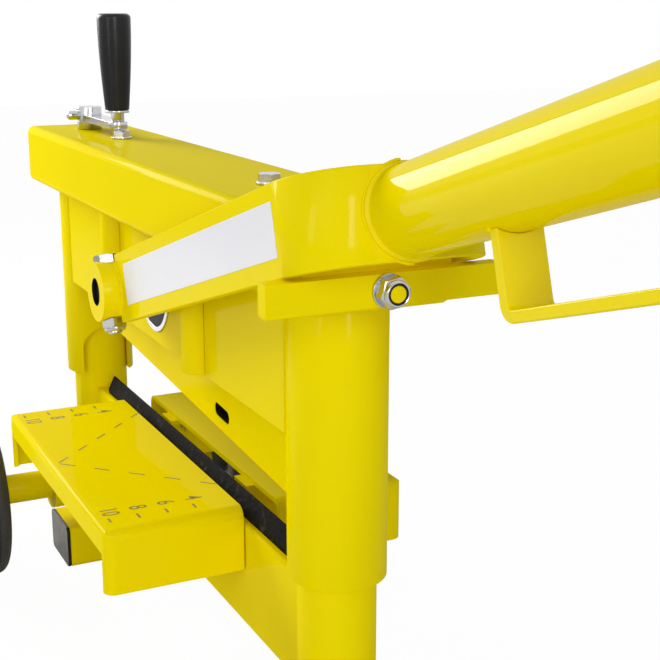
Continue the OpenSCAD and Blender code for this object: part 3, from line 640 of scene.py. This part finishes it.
class Workshop:
    """The frame, finishes and trees, with the steps that make and place a piece."""

    def __init__(self, frame: dict[str, Any]) -> None:
        """Builds the finishes and the trees.

        Args:
            frame: The loaded frame.
        """
        self.nodes = frame["nodes"]
        self.trees = Trees()
        effects = Effects()
        self.paints = {finish.name: finish.build(effects) for finish in FINISHES}

    def dress(self, node: str, finish: Finish, edge: float, rounds: int) -> None:
        """Gives a carried-over node its finish and broken edges.

        Args:
            node: The node's name.
            finish: The finish.
            edge: The width of the edge break in metres, or 0 for none.
            rounds: The number of segments across the edge break.
        """
        target = self.nodes[node]
        target.data.materials.clear()
        target.data.materials.append(self.paints[finish.name])
        if edge:
            weld = target.modifiers.new("joined_faces", "WELD")
            weld.merge_threshold = JOIN_REACH
            flat = target.modifiers.new("flat_faces", "DECIMATE")
            flat.decimate_type = "DISSOLVE"
            flat.angle_limit = math.radians(FLAT_ANGLE)
            soft = target.modifiers.new("broken_edges", "BEVEL")
            soft.width = edge
            soft.segments = rounds
            soft.limit_method = "ANGLE"
            soft.angle_limit = math.radians(EDGE_ANGLE)
            soft.use_clamp_overlap = True
            soft.harden_normals = True
        LOG.info("node %s: %s", node, finish.name)

    def dress_all(self, *rows: tuple[Finish, float, str], rounds: int = 2) -> None:
        """Dresses many nodes.

        Args:
            rows: Each finish with its edge break in millimetres and the names of its nodes.
            rounds: The number of segments across the edge breaks.
        """
        for finish, edge, names in rows:
            for node in names.split():
                self.dress(node, finish, edge * MM, rounds)

    def place(
            self, name: str, mesh: Mesh, body: Body, finish: Finish,
            nodes: Iterable[str] = ()) -> None:
        """Hands a finished mesh to the frame.

        Args:
            name: The piece's name.
            mesh: The mesh, already in its place.
            body: The body that carries it.
            finish: The piece's finish; not used.
            nodes: The nodes that it stands for.
        """
        piece = add_object(name, mesh)
        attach(piece, body.value)
        if nodes:
            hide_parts(*nodes)
        LOG.info("piece %s: %d faces on %s", name, len(mesh.polygons), body.value)

    def mesh(self, name: str, shells: Iterable[Shell], finish: Finish) -> Mesh:
        """Joins shells into one mesh.

        Args:
            name: The mesh's name.
            shells: Each shell with the matrix that places it. The shells are used up.
            finish: The finish of all faces.

        Returns:
            The mesh, smooth but for its sharp edges.
        """
        whole = bmesh.new()
        for shell, matrix in shells:
            bmesh.ops.transform(shell, matrix=matrix, verts=shell.verts)
            part = bpy.data.meshes.new("part")
            shell.to_mesh(part)
            shell.free()
            whole.from_mesh(part)
            bpy.data.meshes.remove(part)
        bmesh.ops.remove_doubles(whole, verts=whole.verts, dist=DOUBLES)
        bmesh.ops.recalc_face_normals(whole, faces=whole.faces)
        made = bpy.data.meshes.new(name)
        whole.to_mesh(made)
        whole.free()
        made.materials.append(self.paints[finish.name])
        made.shade_smooth()
        made.set_sharp_from_angle(angle=math.radians(SHARP_ANGLE))
        return made

    def fit(
            self, name: str, shells: Iterable[Shell], body: Body, finish: Finish,
            nodes: Iterable[str] = ()) -> None:
        """Joins shells into one piece and hands it to the frame.

        Args:
            name: The piece's name.
            shells: Each shell with the matrix that places it. The shells are used up.
            body: The body that carries it.
            finish: Its finish.
            nodes: The nodes that it stands for.
        """
        self.place(name, self.mesh(name, shells, finish), body, finish, nodes)

    @staticmethod
    def grow(name: str, host: Mesh, tree: NodeTree, **values: Any) -> Mesh:
        """Runs a Geometry Nodes tree on a mesh and keeps the result.

        Args:
            name: The new mesh's name.
            host: The mesh of paths or points. It is used up.
            tree: The tree.
            values: The tree's inputs by name.

        Returns:
            A plain mesh.
        """
        carrier = add_object(name + "_path", host)
        modifier = carrier.modifiers.new("tree", "NODES")
        modifier.node_group = tree
        for item in tree.interface.items_tree:
            if item.in_out == "INPUT" and item.name in values:
                modifier[item.identifier] = values[item.name]
        graph = bpy.context.evaluated_depsgraph_get()
        made = bpy.data.meshes.new_from_object(carrier.evaluated_get(graph), depsgraph=graph)
        made.name = name
        carrier.modifiers.clear()
        bpy.data.objects.remove(carrier)
        bpy.data.meshes.remove(host)
        return made

    def bead(self, name: str, paths: Iterable[Path3], body: Body, width: float) -> None:
        """Lays painted weld beads along paths on one body.

        Args:
            name: The piece's name.
            paths: The paths, in metres.
            body: The body that carries the welds.
            width: Half the width of the bead.
        """
        mesh = self.grow(
            name, paths_mesh(name, paths), self.trees.bead,
            Step=BEAD_STEP * width, Width=width, Finish=self.paints[YELLOW.name])
        self.place(name, mesh, body, YELLOW)

    def seated(
            self, name: str, shape: Mesh, seats: Sequence[tuple[Point, Point]], body: Body,
            finish: Finish, nodes: Iterable[str] = ()) -> None:
        """Repeats a shape on its seats.

        Args:
            name: The piece's name.
            shape: The shape, with its seat at the origin.
            seats: Each seat's place in metres and its angles in radians.
            body: The body that carries the pieces.
            finish: Their finish.
            nodes: The nodes that they stand for.
        """
        points = bpy.data.meshes.new(name)
        points.from_pydata([place for place, turn in seats], [], [])
        turns = points.attributes.new("turn", "FLOAT_VECTOR", "POINT")
        for spot, (place, turn) in zip(turns.data, seats):
            spot.vector = turn
        model = add_object(name + "_shape", shape)
        mesh = self.grow(name, points, self.trees.seat, Shape=model, Finish=self.paints[finish.name])
        bpy.data.objects.remove(model)
        bpy.data.meshes.remove(shape)
        self.place(name, mesh, body, finish, nodes)


def paths_mesh(name: str, paths: Iterable[Path3]) -> Mesh:
    """Makes open chains of edges along paths.

    Args:
        name: The mesh's name.
        paths: The paths, in metres.

    Returns:
        The mesh, without faces.
    """
    points: Path3 = []
    edges = []
    for path in paths:
        first = len(points)
        points.extend(path)
        edges.extend((k, k + 1) for k in range(first, len(points) - 1))
    mesh = bpy.data.meshes.new(name)
    mesh.from_pydata(points, edges, [])
    return mesh


@dataclass(frozen=True)
class Panel:
    """One soft light panel, with its brightness where 1 is white and its roll in degrees."""

    name: str
    place: Point
    aim: Point
    size: tuple[float, float]
    radiance: float
    roll: float = 0.0

    def hang(self) -> None:
        """Hangs the panel in its place, so that it faces its aim."""
        data = bpy.data.lights.new(self.name, "AREA")
        data.shape = "RECTANGLE"
        data.size, data.size_y = self.size
        data.energy = self.radiance * math.pi * self.size[0] * self.size[1]
        light = add_object(self.name, data)
        light.location = self.place
        facing = (Vector(self.aim) - Vector(self.place)).to_track_quat("-Z", "Y")
        turned = facing @ Quaternion((0.0, 0.0, 1.0), math.radians(self.roll))
        light.rotation_euler = turned.to_euler()


PANELS = (
    Panel("side_panel", (0.6, -1.2, 0.6), (0.3, 0.0, 0.4), (0.22, 0.5), 4.0),
    Panel("front_panel", (1.4, -2.2, 1.5), (0.0, 0.0, 0.3), (1.6, 1.6), 0.8),
    Panel("key_panel", (2.6, -0.5, 1.2), (0.0, 0.0, 0.3), (0.4, 1.6), 11.0),
    Panel("rear_panel", (-1.67, -0.78, 1.13), (0.46, 0.0, 0.455), (1.0, 1.15), 10.0, -32.5))


@dataclass
class Studio:
    """The camera, the light and the floor."""

    eye: Point = (0.8939, -0.3167, 0.5191)
    yaw: float = 25.98
    pitch: float = 14.27
    focal: float = 69.75
    sensor: float = 36.0
    near_clip: float = 0.01
    ambient: float = 0.37
    floor_half: float = 6.0
    floor_tone: float = 0.86
    floor_roughness: float = 0.8
    floor_share: float = 0.975

    def camera(self) -> None:
        """Sets the camera at the photograph's place and angle."""
        data = bpy.data.cameras.new("camera")
        data.lens = self.focal
        data.sensor_width = self.sensor
        data.sensor_fit = "HORIZONTAL"
        data.clip_start = self.near_clip
        camera = add_object("camera", data)
        yaw, pitch = math.radians(self.yaw), math.radians(self.pitch)
        ahead = Vector((
            -math.cos(yaw) * math.cos(pitch), math.sin(yaw) * math.cos(pitch), -math.sin(pitch)))
        right = Vector((math.sin(yaw), math.cos(yaw), 0.0))
        above = right.cross(ahead)
        axes = Matrix((right, above, -ahead)).transposed()
        camera.matrix_world = Matrix.Translation(self.eye) @ axes.to_4x4()
        bpy.context.scene.camera = camera

    def world(self) -> None:
        """Sets a white surround for what sees it, and a plain level for what it lights."""
        world = bpy.data.worlds.new("studio")
        bpy.context.scene.world = world
        world.use_nodes = True
        tree = world.node_tree
        tree.nodes.clear()
        rays = tree.nodes.new("ShaderNodeLightPath")
        seen = add_node(tree, "ShaderNodeMath", operation="MAXIMUM")
        both = add_node(tree, "ShaderNodeMath", operation="MAXIMUM")
        white = add_node(tree, "ShaderNodeBackground", Strength=1.0, Color=WHITE)
        level = add_node(tree, "ShaderNodeBackground", Strength=self.ambient, Color=WHITE)
        mix = tree.nodes.new("ShaderNodeMixShader")
        end = tree.nodes.new("ShaderNodeOutputWorld")
        wire(
            tree,
            (rays, "Is Camera Ray", seen, 0),
            (rays, "Is Glossy Ray", seen, 1),
            (seen, 0, both, 0),
            (rays, "Is Transmission Ray", both, 1),
            (both, 0, mix, "Fac"),
            (level, 0, mix, 1),
            (white, 0, mix, 2),
            (mix, 0, end, "Surface"))

    def floor(self) -> None:
        """Lays a pale floor that keeps a faint shadow."""
        mesh = bpy.data.meshes.new("floor")
        half = self.floor_half
        corners = [(-half, -half, 0), (half, -half, 0), (half, half, 0), (-half, half, 0)]
        mesh.from_pydata(corners, [], [(0, 1, 2, 3)])
        material = bpy.data.materials.new("pale_floor")
        material.use_nodes = True
        tree = material.node_tree
        shader = tree.nodes["Principled BSDF"]
        shader.inputs["Base Color"].default_value = (self.floor_tone, self.floor_tone, self.floor_tone, 1.0)
        shader.inputs["Roughness"].default_value = self.floor_roughness
        rays = tree.nodes.new("ShaderNodeLightPath")
        share = add_node(tree, "ShaderNodeMapRange", To_Max=self.floor_share)
        glow = add_node(tree, "ShaderNodeEmission", Strength=1.0)
        mix = tree.nodes.new("ShaderNodeMixShader")
        wire(
            tree,
            (rays, "Is Camera Ray", share, "Value"),
            (share, 0, mix, "Fac"),
            (shader, 0, mix, 1),
            (glow, 0, mix, 2),
            (mix, 0, tree.nodes["Material Output"], "Surface"))
        mesh.materials.append(material)
        floor = add_object("floor", mesh)

    def build(self) -> None:
        """Builds the camera, the light and the floor."""
        bpy.context.scene.view_settings.view_transform = "Standard"
        self.camera()
        self.world()
        self.floor()
        for panel in PANELS:
            panel.hang()


@dataclass
class Assembly:
    """A sub-assembly, which is dressed and fitted out in the workshop."""

    shop: Workshop

    def build(self) -> None:
        """Dresses the sub-assembly's nodes and adds its pieces."""
        raise NotImplementedError


@dataclass
class Stand(Assembly):
    """Feet, columns, lower beam and blade."""

    column_x: float = 253.5 * MM
    column_r: float = 24.15 * MM
    foot_top: float = 40.0 * MM
    beam_half: float = 10.0 * MM
    beam_low: float = 95.7 * MM
    beam_high: float = 172.7 * MM
    table_x: float = -9.5 * MM
    arm_x: float = 95.0 * MM
    arm_low: float = 141.0 * MM
    weld: float = 2.0 * MM
    weld_gap: float = 2.0 * MM

    def build(self) -> None:
        """Dresses the stand and welds it."""
        self.shop.dress_all(
            (YELLOW, 1.0, "near_foot far_foot near_column far_column lower_beam table_arms axle_brackets"),
            (YELLOW, 0.6, "axle_tube"),
            (PLASTIC, 0.8, "foot_caps"),
            (PLASTIC, 0.5, "axle_caps"),
            (BRONZE, 0.4, "column_nuts"),
            (BLADE, 0.5, "lower_blade"),
            (ZINC, 0.4, "wheel_axle"))
        reach = self.column_x - math.sqrt(self.column_r ** 2 - self.beam_half ** 2)
        top = self.beam_high - self.weld_gap
        paths = []
        for side in SIDES:
            centre = Vector((side * self.column_x, 0.0, self.foot_top))
            paths.append(circle(centre, X_AXIS, Y_AXIS, self.column_r, 0.0, 360.0))
            for face in SIDES:
                spot = (side * reach, face * self.beam_half)
                paths.append([(*spot, self.beam_low), (*spot, top)])
                rib = (self.table_x + side * self.arm_x, face * self.beam_half)
                paths.append([(*rib, self.arm_low + self.weld_gap), (*rib, top)])
        self.shop.bead("stand_welds", paths, Body.FRAME, self.weld)


@dataclass
class Tables(Assembly):
    """The two folded tables, the left one with printed scales."""

    top: float = 185.0 * MM
    near_row: float = 113.0 * MM
    far_row: float = -134.0 * MM
    steps: tuple[int, ...] = (4, 6, 8, 10)
    tick_pitch: float = 2.0 * CM
    tick: float = 7.5 * MM
    line: float = 1.7 * MM
    ink: float = 0.06 * MM
    digit: float = 12.0 * MM
    digit_share: float = 0.69
    digit_narrow: float = 0.78
    digit_swell: float = 0.2 * MM
    digit_shift: float = -14.5 * MM
    digit_in: float = 3.5 * MM
    middle: float = -10.5 * MM
    apex_y: float = 103.5 * MM
    apex_gap: float = 6.0 * MM
    reach: float = 87.5 * MM
    dash: float = 13.0 * MM
    dash_share: float = 0.9
    dash_pitch: float = 28.5 * MM

    def build(self) -> None:
        """Dresses the tables and prints the left one's scales."""
        self.shop.dress_all((YELLOW, 1.6, "left_table right_table"), rounds=3)
        self.shop.dress_all((ZINC, 0.3, "table_nuts"))
        level = self.top + 0.5 * self.ink
        ticks, dashes = [], []
        for row in (self.near_row, self.far_row):
            ticks.append([(row, -self.steps[0] * CM, level), (row, -self.steps[-1] * CM, level)])
        for lean in (-1.0, 1.0):
            start = (self.middle + lean * self.apex_gap, self.apex_gap - self.apex_y, level)
            end = (self.middle + lean * self.reach, self.reach - self.apex_y, level)
            dashes.append([start, end])
        for name, paths, pitch, size in (
                ("scale_ticks", ticks, self.tick_pitch, (self.line, self.tick, self.ink)),
                ("angle_lines", dashes, self.dash_pitch, (self.dash, self.dash_share * self.line, self.ink))):
            marks = self.shop.grow(
                name, paths_mesh(name, paths), self.shop.trees.mark,
                Pitch=pitch, Size=size, Finish=self.shop.paints[PRINT.name])
            self.shop.place(name, marks, Body.FRAME, PRINT)
        self.numbers()

    def numbers(self) -> None:
        """Prints the scale's numbers beside the ticks."""
        whole = bmesh.new()
        narrow = Matrix.Diagonal((self.digit_narrow, 1.0, 1.0, 1.0))
        for step in self.steps:
            data = bpy.data.curves.new("number", "FONT")
            data.body = str(step)
            data.size = self.digit / self.digit_share
            data.align_x = "CENTER"
            data.align_y = "CENTER"
            data.extrude = 0.5 * self.ink
            data.offset = self.digit_swell
            carrier = add_object("number", data)
            graph = bpy.context.evaluated_depsgraph_get()
            shape = bpy.data.meshes.new_from_object(carrier.evaluated_get(graph), depsgraph=graph)
            bpy.data.objects.remove(carrier)
            bpy.data.curves.remove(data)
            for row in (self.near_row + self.digit_shift, self.far_row - self.digit_shift):
                copy = shape.copy()
                place = (row, self.digit_in - step * CM, self.top + 0.5 * self.ink)
                copy.transform(Matrix.Translation(place) @ narrow)
                whole.from_mesh(copy)
                bpy.data.meshes.remove(copy)
            bpy.data.meshes.remove(shape)
        mesh = bpy.data.meshes.new("scale_numbers")
        whole.to_mesh(mesh)
        whole.free()
        mesh.materials.append(self.shop.paints[PRINT.name])
        self.shop.place("scale_numbers", mesh, Body.FRAME, PRINT)


@dataclass
class Wheels(Assembly):
    """The two wheels with grooved tyres."""

    axle_x: float = -253.5 * MM
    axle_z: float = 77.0 * MM
    near_y: float = 106.0 * MM
    far_y: float = 142.0 * MM
    outer_r: float = 75.0 * MM
    rim_r: float = 54.0 * MM
    lip: Profile = ((0.0, 1.5 * MM), (4.0 * MM, 0.4 * MM), (10.0 * MM, 0.0))
    bulge: float = 9.0 * MM
    groove: float = 0.9 * MM
    groove_depth: float = 1.6 * MM
    groove_at: tuple[float, ...] = (0.34, 0.5, 0.66)

    def tyre(self) -> BMesh:
        """Turns the tyre about Z, from height 0 to its width.

        Returns:
            The closed shell.
        """
        width = self.far_y - self.near_y
        wall = [(self.rim_r + out, height) for out, height in self.lip]
        for k in range(1, CORNER_STEPS + 1):
            angle = math.radians(CORNER_STEP * k)
            wall.append((
                self.outer_r - self.bulge + self.bulge * math.sin(angle),
                self.bulge - self.bulge * math.cos(angle)))
        mouth, bed = 1.2 * self.groove, 0.6 * self.groove
        deep = self.outer_r - self.groove_depth
        tread = []
        for share in self.groove_at:
            middle = width * share
            tread += [
                (self.outer_r, middle - mouth), (deep, middle - bed),
                (deep, middle + bed), (self.outer_r, middle + mouth)]
        mirrored = [(radius, width - height) for radius, height in reversed(wall)]
        profile = wall + tread + mirrored
        return revolve(profile + profile[:1], LARGE_SIDES)

    def build(self) -> None:
        """Dresses the rims and fits the tyres."""
        self.shop.dress_all((RIM, 0.6, "left_rim right_rim"))
        for side, body in ((-1.0, Body.LEFT_WHEEL), (1.0, Body.RIGHT_WHEEL)):
            name = body.value.split("_")[0]
            lay = Matrix.Rotation(-QUARTER * side, 4, "X")
            spot = Matrix.Translation((self.axle_x, side * self.near_y, self.axle_z))
            self.shop.fit(name + "_grooved_tyre", [(self.tyre(), spot @ lay)], body, RUBBER, [name + "_tyre"])


@dataclass
class Head(Assembly):
    """Top beam, sleeves, cheeks and their fasteners."""

    beam_top: float = 410.0 * MM
    beam_under: float = 360.0 * MM
    sleeve_x: float = 253.5 * MM
    sleeve_r: float = 30.15 * MM
    cheek_out: float = 27.0 * MM
    cheek_low: float = 273.5 * MM
    bolt_x: float = 157.0 * MM
    bolt_turn: float = 0.35
    washer_t: float = 1.6 * MM
    bolt_af: float = 13.0 * MM
    bolt_head: float = 5.3 * MM
    stop_x: float = 314.0 * MM
    stop_z: float = 372.9 * MM
    stop_washer: float = 2.0 * MM
    stop_af: float = 16.0 * MM
    stop_nut: float = 7.4 * MM
    stop_bore: float = 9.4 * MM
    stop_turn: float = 12.0
    weld: float = 1.3 * MM
    weld_gap: float = 1.0 * MM

    def build(self) -> None:
        """Dresses the head, welds it and sets its fasteners."""
        self.shop.dress_all(
            (YELLOW, 0.8, "top_beam"),
            (YELLOW, 0.9, "near_sleeve far_sleeve front_cheek rear_cheek cheek_ribs tie_blocks stop_bar"),
            (ZINC, 0.4, "shaft_bushes"),
            (ZINC, 0.25, "beam_washers"),
            (BRONZE, 0.4, "spindle_bushes"),
            (STEEL, 0.4, "guide_strips"),
            (STEEL, 0.0, "drive_chain"))
        head = self.shop.mesh("bolt_head", [(hex_shape(self.bolt_af, self.bolt_head), Matrix())], ZINC)
        seat = self.beam_top + self.washer_t
        seats = [((side * self.bolt_x, 0.0, seat), (0.0, 0.0, self.bolt_turn + side)) for side in SIDES]
        self.shop.seated("beam_bolt_heads", head, seats, Body.HEAD, ZINC, ["beam_bolts"])
        self.lock_nut()
        self.welds()

    def lock_nut(self) -> None:
        """Sets the stepped stop stud and its lock nut with collar, ring and washer."""
        face = Matrix.Translation((self.stop_x, 0.0, self.stop_z)) @ Matrix.Rotation(QUARTER, 4, "Y")
        turn = Matrix.Rotation(math.radians(self.stop_turn), 4, "Z")
        lift = Matrix.Translation((0.0, 0.0, self.stop_washer)) @ turn
        shells = [(hex_shape(self.stop_af, self.stop_nut, self.stop_bore, True), face @ lift)]
        shells += [(lathe(part, ROUND_SIDES), face) for part in (STOP_WASHER, STOP_COLLAR)]
        self.shop.fit("stop_lock_nut", shells, Body.HEAD, ZINC, ["stop_nut"])
        self.shop.fit("lock_ring", [(lathe(STOP_RING, ROUND_SIDES), face)], Body.HEAD, PLASTIC)
        stud = [(lathe(STOP_STUD, ROUND_SIDES), face)]
        self.shop.fit("stepped_stop_stud", stud, Body.HEAD, YELLOW, ["stop_stud"])

    def welds(self) -> None:
        """Welds the cheeks to the sleeves."""
        reach = self.sleeve_x - math.sqrt(self.sleeve_r ** 2 - self.cheek_out ** 2)
        low, high = self.cheek_low + self.weld_gap, self.beam_under - self.weld_gap
        paths = []
        for side in SIDES:
            for face in SIDES:
                spot = (side * reach, face * self.cheek_out)
                paths.append([(*spot, low), (*spot, high)])
        self.shop.bead("head_welds", paths, Body.HEAD, self.weld)


@dataclass
class Crank(Assembly):
    """The lifting crank with its turning grip."""

    def build(self) -> None:
        """Dresses the crank."""
        self.shop.dress_all(
            (STEEL, 0.0, "far_spindle near_spindle far_sprocket near_sprocket"),
            (ZINC, 1.2, "crank_hub"),
            (ZINC, 0.8, "crank_arm"),
            (ZINC, 0.3, "grip_pin"),
            (ZINC, 0.0, "crank_set_screw"))
        self.shop.dress_all((PLASTIC, 0.8, "crank_grip"), rounds=3)


@dataclass
class Lever(Assembly):
    """The lever fork with its tube, loop, hubs and blank strip."""

    tilt: float = 16.9
    axis_z: float = 316.0 * MM
    hub_r: float = 22.0 * MM
    hub_arc: float = 56.0
    arm_out: float = 58.0 * MM
    arm_in: float = 50.0 * MM
    bow_u: float = 352.0 * MM
    tube_r: float = 24.15 * MM
    loop_u: tuple[float, float] = (441.0 * MM, 637.0 * MM)
    loop_half: float = 12.5 * MM
    weld: float = 2.0 * MM
    seam: float = 0.9 * MM
    seam_back: float = 0.4 * MM
    seam_out: float = 2.6 * MM
    seam_arc: tuple[float, float] = (95.0, 265.0)
    bolt_y: float = 60.0 * MM
    bolt_seat: float = 20.0 * MM
    bolt_af: float = 17.0 * MM
    head_h: float = 6.4 * MM
    head_turn: float = 0.3
    nut_h: float = 7.4 * MM
    nut_bore: float = 10.2 * MM
    nut_turn: float = 0.2
    strip_u: tuple[float, float] = (33.0 * MM, 311.0 * MM)
    strip_v: tuple[float, float] = (-14.0 * MM, 15.5 * MM)
    strip_t: float = 0.25 * MM
    strip_r: float = 0.6 * MM
    bore_y: tuple[float, float] = (68.5 * MM, 71.2 * MM)
    bore_r: tuple[float, float] = (9.9 * MM, 10.28 * MM)

    def frame(self) -> Matrix:
        """Works out where the lever's own axes lie: along it, out of it and above it.

        Returns:
            The matrix from those axes to the part's frame.
        """
        angle = math.radians(self.tilt)
        along = Vector((math.cos(angle), 0.0, math.sin(angle)))
        above = along.cross(Y_AXIS)
        axes = Matrix((along, Y_AXIS, above)).transposed()
        return Matrix.Translation((0.0, 0.0, self.axis_z)) @ axes.to_4x4()

    def tilted(self, paths: Iterable[Path3]) -> list[Path3]:
        """Carries paths from the lever's own axes to the part's frame.

        Args:
            paths: The paths on the lever's axes, in metres.

        Returns:
            The paths in the part's frame.
        """
        place = self.frame()
        return [[tuple(place @ Vector(point)) for point in path] for path in paths]

    def build(self) -> None:
        """Dresses the lever, welds it and sets its fasteners."""
        self.shop.dress_all(
            (SATIN, 0.9, "lever_fork lever_hubs"),
            (GLOSS, 0.9, "lever_loop"),
            (GLOSS, 0.0, "lever_tube"),
            (PLASTIC, 0.8, "lever_end_cap"),
            (BLACKED, 0.7, "eccentric_shaft"))
        self.welds()
        self.fasteners()
        self.strip()
        self.bores()

    def welds(self) -> None:
        """Welds the hubs, the tube and the loop."""
        paths = []
        for side in SIDES:
            for face in (self.arm_out, self.arm_in):
                centre = Vector((0.0, side * face, 0.0))
                paths.append(circle(centre, X_AXIS, Z_AXIS, self.hub_r, -self.hub_arc, self.hub_arc))
        half = math.degrees(math.asin(self.loop_half / self.tube_r))
        for end in self.loop_u:
            paths.append(circle(Vector((end, 0.0, 0.0)), -Z_AXIS, Y_AXIS, self.tube_r, -half, half))
        self.shop.bead("lever_welds", self.tilted(paths), Body.LEVER, self.weld)
        middle = Vector((self.bow_u - self.seam_back, 0.0, 0.0))
        seam = circle(middle, Y_AXIS, Z_AXIS, self.tube_r + self.seam_out, *self.seam_arc)
        self.shop.bead("tube_seam", self.tilted([seam]), Body.LEVER, self.seam)
        wall = [(self.tube_r + out * MM, height * MM) for out, height in TUBE_FILLET]
        fillet = revolve(wall, LARGE_SIDES)
        spot = self.frame() @ Matrix.Translation((self.bow_u, 0.0, 0.0)) @ Matrix.Rotation(QUARTER, 4, "Y")
        self.shop.fit("tube_weld", [(fillet, spot)], Body.LEVER, GLOSS)

    def fasteners(self) -> None:
        """Sets the hub bolts with their lock nuts."""
        lift = Matrix.Translation((0.0, 0.0, self.bolt_seat))
        bolts, rings = [], []
        for side in SIDES:
            seat = self.frame() @ Matrix.Translation((0.0, side * self.bolt_y, 0.0))
            head = seat @ lift @ Matrix.Rotation(self.head_turn * side, 4, "Z")
            down = seat @ Matrix.Rotation(math.pi, 4, "X")
            nut = down @ lift @ Matrix.Rotation(self.nut_turn * side, 4, "Z")
            bolts += [
                (hex_shape(self.bolt_af, self.head_h), head),
                (hex_shape(self.bolt_af, self.nut_h, self.nut_bore, True), nut),
                (lathe(HUB_COLLAR, NUT_SIDES), nut),
                (lathe(HUB_SHANK, SHANK_SIDES), down)]
            rings.append((lathe(HUB_RING, NUT_SIDES), nut))
        self.shop.fit("hub_bolts_and_nuts", bolts, Body.LEVER, ZINC, ["hub_bolts", "hub_nuts"])
        self.shop.fit("hub_lock_rings", rings, Body.LEVER, PLASTIC)

    def strip(self) -> None:
        """Sticks the blank strip on the arm."""
        shell = bmesh.new()
        radius = self.strip_r
        low_u, high_u = self.strip_u
        low_v, high_v = self.strip_v
        corners = []
        for u, v, start in (
                (high_u - radius, high_v - radius, 0.0), (low_u + radius, high_v - radius, 90.0),
                (low_u + radius, low_v + radius, 180.0), (high_u - radius, low_v + radius, 270.0)):
            for k in range(CORNER_STEPS + 1):
                angle = math.radians(start + CORNER_STEP * k)
                corners.append((u + radius * math.cos(angle), v + radius * math.sin(angle)))
        front = [shell.verts.new((u, -self.arm_out - self.strip_t, v)) for u, v in corners]
        back = [shell.verts.new((u, -self.arm_out, v)) for u, v in corners]
        shell.faces.new(front)
        shell.faces.new(list(reversed(back)))
        skin(shell, [back, front])
        self.shop.fit("blank_strip", [(shell, self.frame())], Body.LEVER, STRIP)

    def bores(self) -> None:
        """Lines the hubs' bores beyond the shaft's ends with blacked metal."""
        (low, high), (inner, outer) = self.bore_y, self.bore_r
        wall = [(outer, low), (inner, low), (inner, high), (outer, high), (outer, low)]
        turns = [self.frame() @ Matrix.Rotation(-QUARTER * side, 4, "X") for side in SIDES]
        linings = [(revolve(wall, ROUND_SIDES), turn) for turn in turns]
        self.shop.fit("hub_bore_linings", linings, Body.LEVER, BLACKED)


@dataclass
class Knife(Assembly):
    """The upper knife with its holder, its pivot and the painted shade inside its slot."""

    tilt: float = 3.73
    pivot_z: float = 283.5 * MM
    slot_at: tuple[float, float] = (93.5 * MM, -36.5 * MM)
    slot_l: float = 28.0 * MM
    slot_h: float = 9.5 * MM
    thick: float = 20.0 * MM
    wall: float = 0.3 * MM
    inset: float = 0.6 * MM

    def build(self) -> None:
        """Dresses the knife and paints shade into its slot with a dark lining."""
        self.shop.dress_all(
            (YELLOW, 0.7, "upper_knife"),
            (STEEL, 0.7, "knife_holder"),
            (ZINC, 0.4, "knife_pivot_pin"))
        self.lining()

    def lining(self) -> None:
        """Paints shade into the through slot: a thin dark lining in blade steel stands in for the shade
        inside it.
        """
        steps = 48
        half = 0.5 * (self.slot_l - self.slot_h)
        depth = 0.5 * self.thick - self.inset
        outer, inner = 0.5 * self.slot_h, 0.5 * self.slot_h - self.wall
        shell = bmesh.new()
        rings = []
        for radius, y in ((outer, -depth), (inner, -depth), (inner, depth), (outer, depth), (outer, -depth)):
            ring = []
            for k in range(steps):
                angle = 2.0 * math.pi * k / steps
                side = half if math.cos(angle) >= 0.0 else -half
                ring.append(shell.verts.new((side + radius * math.cos(angle), y, radius * math.sin(angle))))
            rings.append(ring)
        skin(shell, rings)
        turn = Matrix.Rotation(math.radians(self.tilt), 4, "Y")
        across, up = self.slot_at
        spot = Matrix.Translation((0.0, 0.0, self.pivot_z)) @ turn @ Matrix.Translation((across, 0.0, up))
        # Painted shade: this thin dark sheet lines the whole slot so that the hole reads black, as shade
        # makes it.
        self.shop.fit("knife_slot_lining", [(shell, spot)], Body.KNIFE, BLADE)


def main() -> None:
    """Builds the scene round the frame."""
    logging.basicConfig(level=logging.INFO, format="%(name)s %(message)s")
    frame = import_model()
    Studio().build()
    shop = Workshop(frame)
    for assembly in (Stand, Tables, Wheels, Head, Crank, Lever, Knife):
        assembly(shop).build()


if __name__ == "__main__":
    main()
